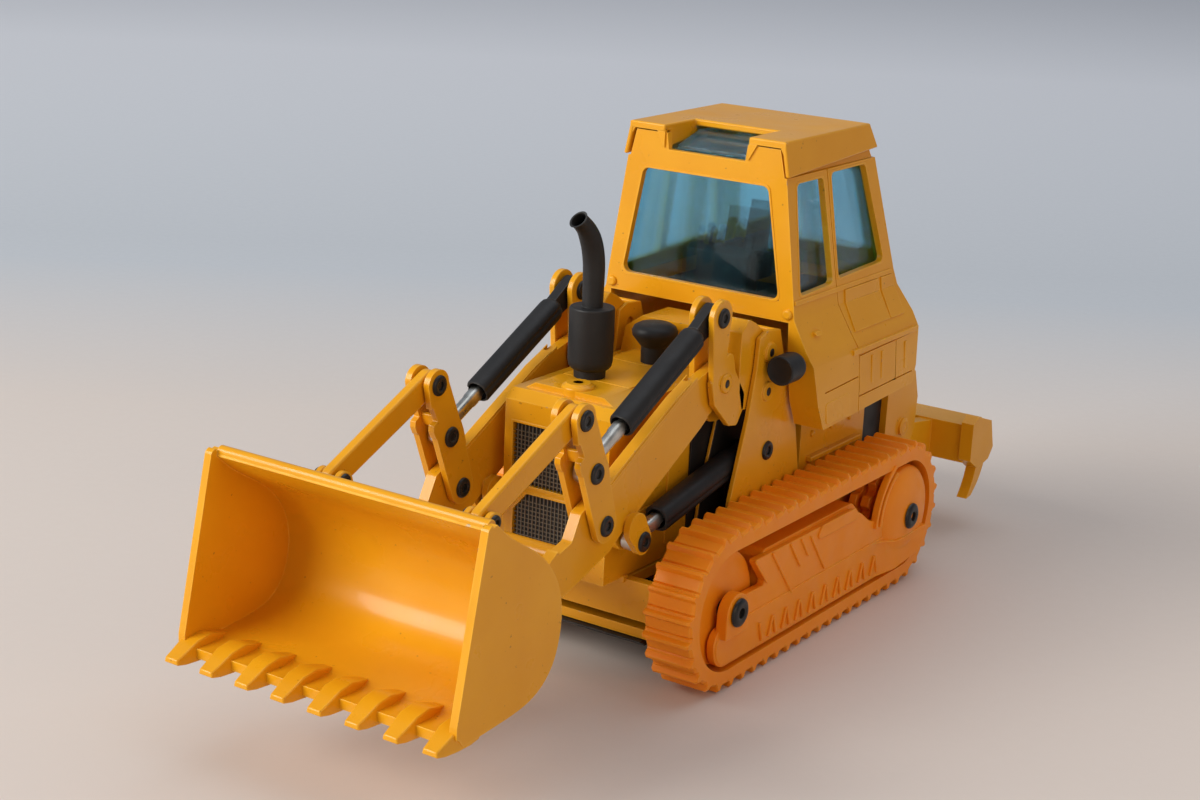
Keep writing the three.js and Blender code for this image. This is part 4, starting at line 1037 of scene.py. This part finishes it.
def rod(kind, name, side):
    """A flattened rod with a collar, tapering inside the barrel, and a flat eye on its pin."""
    form = bmesh.new()
    base, end, _, _, collar, length = CYLINDERS[kind]
    run = Vector((0, base[0] - end[0], base[1] - end[1])).normalized()
    start = Vector((side * LINKAGE_X, *end))
    rings = []
    for distance, half_wide, half_high in (
            (1.2, 0.66, 0.95), (2.6, 0.68, 0.95), (collar - 2.6, 0.7, 0.92),
            (collar - 2.1, 0.76, 1.04), (collar - 0.5, 0.76, 1.04), (collar, 0.66, 0.8),
            (collar + 2.0, 0.5, 0.52), (length, 0.45, 0.5)):
        points = []
        for c, s in circle(24):
            square = (abs(c) ** 4 + abs(s) ** 4) ** -0.25
            points.append((half_wide * square * c, half_high * square * s))
        rings.append(side_section(start + run * distance, run, side, points))
    add_loft(form, rings)
    eye_strap(form, side, end, run, 2.8, 1.6, 0.85, 0.1)
    cad_name = f"{kind}_rod_{name}"
    from_form(form, f"{kind}_piston_rod_{name}", BRIGHT, [cad_name], 0.08, 45, cad_name)


def bellcrank(name, side):
    """Two cheeks, stepped on their front edge, and the spacer between them."""
    form = bmesh.new()
    top = arc(LINK_TOP, 2.15, 5, 175, 18)
    front = rounded([(-33.1, 40.6, 1), (-31.7, 38.3, 0.6), (-31.35, 37.5, 0.2), (-32.15, 37.0, 0.25),
                     (-32.2, 36.2, 0.5), (-31.2, 34.2, 1)], 4)
    foot = arc(CRANK_PIVOT, 2.3, 205, 375, 18)
    rear = rounded([(-24.4, 31.0, 2), (-25.7, 35.2, 2.2), (-27.0, 38.0, 2)], 4)
    both_layers(form, top + front + foot + rear, side)
    web = even([(-30.6, 36.4), (-29.9, 36.1), (-30.5, 38.2), (-31.1, 38.0)], 0.2)
    add_plate(form, web, *SPACER, side)
    from_form(form, f"crank_{name}_plates", YELLOW, [f"bellcrank_{name}"], 0.2, body=f"crank_{name}")


def link(name, side):
    form = bmesh.new()
    waist = strap_outline(LINK_TOP, 1.8, LINK_FRONT, 1.6)
    add_plate(form, waist, TONGUE[0] + 0.05, TONGUE[1] - 0.05, side)
    cad_name = f"bucket_link_{name}"
    from_form(form, f"link_{name}", YELLOW, [cad_name], 0.28, body=cad_name)


def cross_tube():
    form = bmesh.new()
    add_turned(form, (0, -30.0, 22.7), (1, 0, 0), [
        (0, -10.9), (1.8, -10.9), (1.8, -10.2), (1.55, -9.9), (1.55, 9.9), (1.8, 10.2), (1.8, 10.9),
        (0, 10.9)])
    from_form(form, "arm_cross_tube", YELLOW, ["cross_tube"], 0.06, body="lift_arms")


# The linkage's rivets: name, place, span and the body that each rides on.
RIVETS = [
    ("arm_pivot", ARM_PIVOT, CHEEKS, "chassis"),
    ("lift_base_pin", LIFT_BASE, TOWER_SPAN, "chassis"),
    ("tilt_base_pin", TILT_BASE, CHEEKS, "chassis"),
    ("lift_end_pin", LIFT_END, CHEEKS, "lift_arms"),
    ("crank_pin", CRANK_PIVOT, CHEEKS, "lift_arms"),
    ("bucket_pin", BUCKET_PIVOT, CHEEKS, "lift_arms"),
    ("tilt_end_pin", TILT_END, CHEEKS, "crank"),
    ("link_pin", LINK_TOP, CHEEKS, "crank"),
]


def pins(name, side):
    """The hollow rivets of the linkage. The arm's pivot is painted over."""
    for pin, place, span, body in RIVETS:
        if body == "crank":
            body = f"crank_{name}"
        finish = YELLOW if pin == "arm_pivot" else RIVET
        hollow_rivet(f"{pin}_rivet_{name}", place, span, side, [f"{pin}_{name}"], finish, body=body)
    hollow_rivet(f"link_front_rivet_{name}", LINK_FRONT, CHEEKS, side, size=0.72, body="bucket")
    # A black disc that paints the shade in the hole of the painted arm pivot.
    rivet_hole_shade(f"arm_pivot_core_{name}", ARM_PIVOT, side, CHEEKS[1], CHEEKS[1] + 0.3)


for side_name, side_sign in SIDES.items():
    lamp(side_name, side_sign)
    tower(side_name, side_sign)
    fork(side_name, side_sign)
    lift_arm(side_name, side_sign)
    for cylinder_kind in CYLINDERS:
        cylinder(cylinder_kind, side_name, side_sign)
    for cylinder_kind in CYLINDERS:
        rod(cylinder_kind, side_name, side_sign)
    bellcrank(side_name, side_sign)
    link(side_name, side_sign)
    pins(side_name, side_sign)
cross_tube()

# -------- bucket

def bucket_shell():
    """The rolled skin, the flat cheeks, the cutting edge and the lip along the top."""
    form = bmesh.new()
    outer = smooth_line(BUCKET_BACK)
    last = len(outer) - 1
    inner = []
    for i, (y, z) in enumerate(outer):
        ahead = Vector(outer[min(i + 1, last)]) - Vector(outer[max(i - 1, 0)])
        normal = Vector((ahead.y, -ahead.x)).normalized()
        inner.append((y + normal.x * BUCKET_SKIN, z + normal.y * BUCKET_SKIN))
    inside = BUCKET_HALF - BUCKET_CHEEK + 0.1
    add_plate(form, outer + inner[::-1], -inside, inside)
    cheek = outer + rounded([(-66.9, 13.0, 0.4), (-66.9, 15.6, 0.8), (-62.0, 38.2, 0.8),
                             (-61.0, 38.7, 0.4)])
    for side in SIDES.values():
        add_plate(form, cheek, BUCKET_HALF - BUCKET_CHEEK, BUCKET_HALF, side)
    add_box(form, (-inside, inside), (-66.8, -61.6), (13.05, 14.35))
    lip = arc((-60.2, 37.9), 0.8, 0, 360, 20)[:-1]
    add_plate(form, lip, -inside, inside)
    from_form(form, "bucket_shell", YELLOW, ["bucket"], 0.22, 34, "bucket")


def bucket_teeth():
    """Evenly spaced teeth, each lofted through sections of (y, half width, bottom, top)."""
    form = bmesh.new()
    sections = [(-60.6, 0.8, 13.6, 14.5), (-62.4, 1.4, 12.7, 15.0), (-64.2, 1.62, 12.65, 15.5),
                (-66.4, 1.55, 12.62, 15.2), (-68.4, 1.35, 12.66, 14.2), (TOOTH_TIP, 1.15, 12.9, 13.6)]
    for number in range(TEETH):
        x = -TOOTH_SPAN / 2 + number * TOOTH_SPAN / (TEETH - 1)
        add_loft(form, [[at(x - half, y, low), at(x + half, y, low), at(x + half * 0.85, y, high),
                         at(x - half * 0.85, y, high)] for y, half, low, high in sections])
    from_form(form, "bucket_teeth", YELLOW, sharp=25, body="bucket")


def bucket_ears():
    """The hinge ears behind the bucket, two on each side, with a round boss at the pivot."""
    form = bmesh.new()
    ear = rounded([(-49.4, 14.8, 1), (-44.3, 15.9, 1), (-42.2, 16.7, 1.4), (-41.8, 18.8, 1.6),
                   (-42.9, 20.6, 1.4), (-45.4, 21.6, 1.2), (-46.3, 26.0, 2), (-48.0, 33.0, 2),
                   (-48.5, 34.7, 1.4), (-50.1, 35.3, 1.3), (-51.6, 34.3, 0.8), (-54.2, 32.8, 0.3),
                   (-49.6, 30.2, 1), (-47.2, 24.6, 1), (-47.4, 20.0, 1)])
    boss = strap_outline(BUCKET_PIVOT, 2.2, (-46.6, 19.6), 1.8)
    boss_layers = [(INNER_CHEEK[0] + 0.05, INNER_CHEEK[1] - 0.02),
                   (OUTER_CHEEK[0] + 0.02, OUTER_CHEEK[1] - 0.05)]
    for side in SIDES.values():
        both_layers(form, ear, side)
        both_layers(form, boss, side, boss_layers)
    from_form(form, "bucket_ears", YELLOW, edge=0.2, body="bucket")


bucket_shell()
bucket_teeth()
bucket_ears()

# -------- floor, lights, camera

def floor():
    form = bmesh.new()
    bmesh.ops.create_circle(form, cap_ends=True, radius=4.0, segments=96)
    mesh = bpy.data.meshes.new("floor")
    form.to_mesh(mesh)
    form.free()
    mesh.materials.append(pale_paper("pale_paper"))
    place_object("floor", mesh)


def sky():
    world = bpy.context.scene.world or bpy.data.worlds.new("studio")
    bpy.context.scene.world = world
    world.use_nodes = True
    background = world.node_tree.nodes["Background"]
    background.inputs["Color"].default_value = (0.70, 0.76, 0.86, 1)
    background.inputs["Strength"].default_value = 0.36


def soft_light(name, place, target, size, power, colour):
    data = bpy.data.lights.new(name, "AREA")
    data.shape = "RECTANGLE"
    data.size, data.size_y = size
    data.energy = power
    data.color = colour
    light = place_object(name, data)
    light.location = place
    aim = Vector(target) - Vector(place)
    light.rotation_euler = aim.to_track_quat("-Z", "Y").to_euler()


def camera():
    azimuth, elevation, roll = (math.radians(a) for a in (CAMERA_AZIMUTH, CAMERA_ELEVATION, CAMERA_ROLL))
    back = Vector((math.sin(azimuth) * math.cos(elevation), -math.cos(azimuth) * math.cos(elevation),
                   math.sin(elevation)))
    right = Vector((math.cos(azimuth), math.sin(azimuth), 0))
    up = back.cross(right)
    tilted_right = right * math.cos(roll) + up * math.sin(roll)
    tilted_up = up * math.cos(roll) - right * math.sin(roll)
    data = bpy.data.cameras.new("camera")
    data.lens = CAMERA_LENS
    data.clip_start = 0.01
    eye = place_object("camera", data)
    turn = Matrix((tilted_right, tilted_up, back)).transposed().to_4x4()
    eye.matrix_world = Matrix.Translation(at(*CAMERA_TARGET) + back * CAMERA_DISTANCE) @ turn
    bpy.context.scene.camera = eye


floor()
sky()
soft_light("window", (-0.68, -1.05, 0.64), (0, -0.02, 0.03), (0.95, 0.75), 20.0, (1.0, 0.99, 0.95))
soft_light("ceiling", (0.05, 0.25, 0.85), (0, 0, 0), (0.9, 0.9), 2.6, (0.88, 0.94, 1.0))
soft_light("warm_fill", (0.6, -0.3, 0.28), (0, 0, 0.03), (0.6, 0.4), 1.15, (1.0, 0.70, 0.42))
camera()
bpy.context.scene.view_settings.view_transform = "Standard"
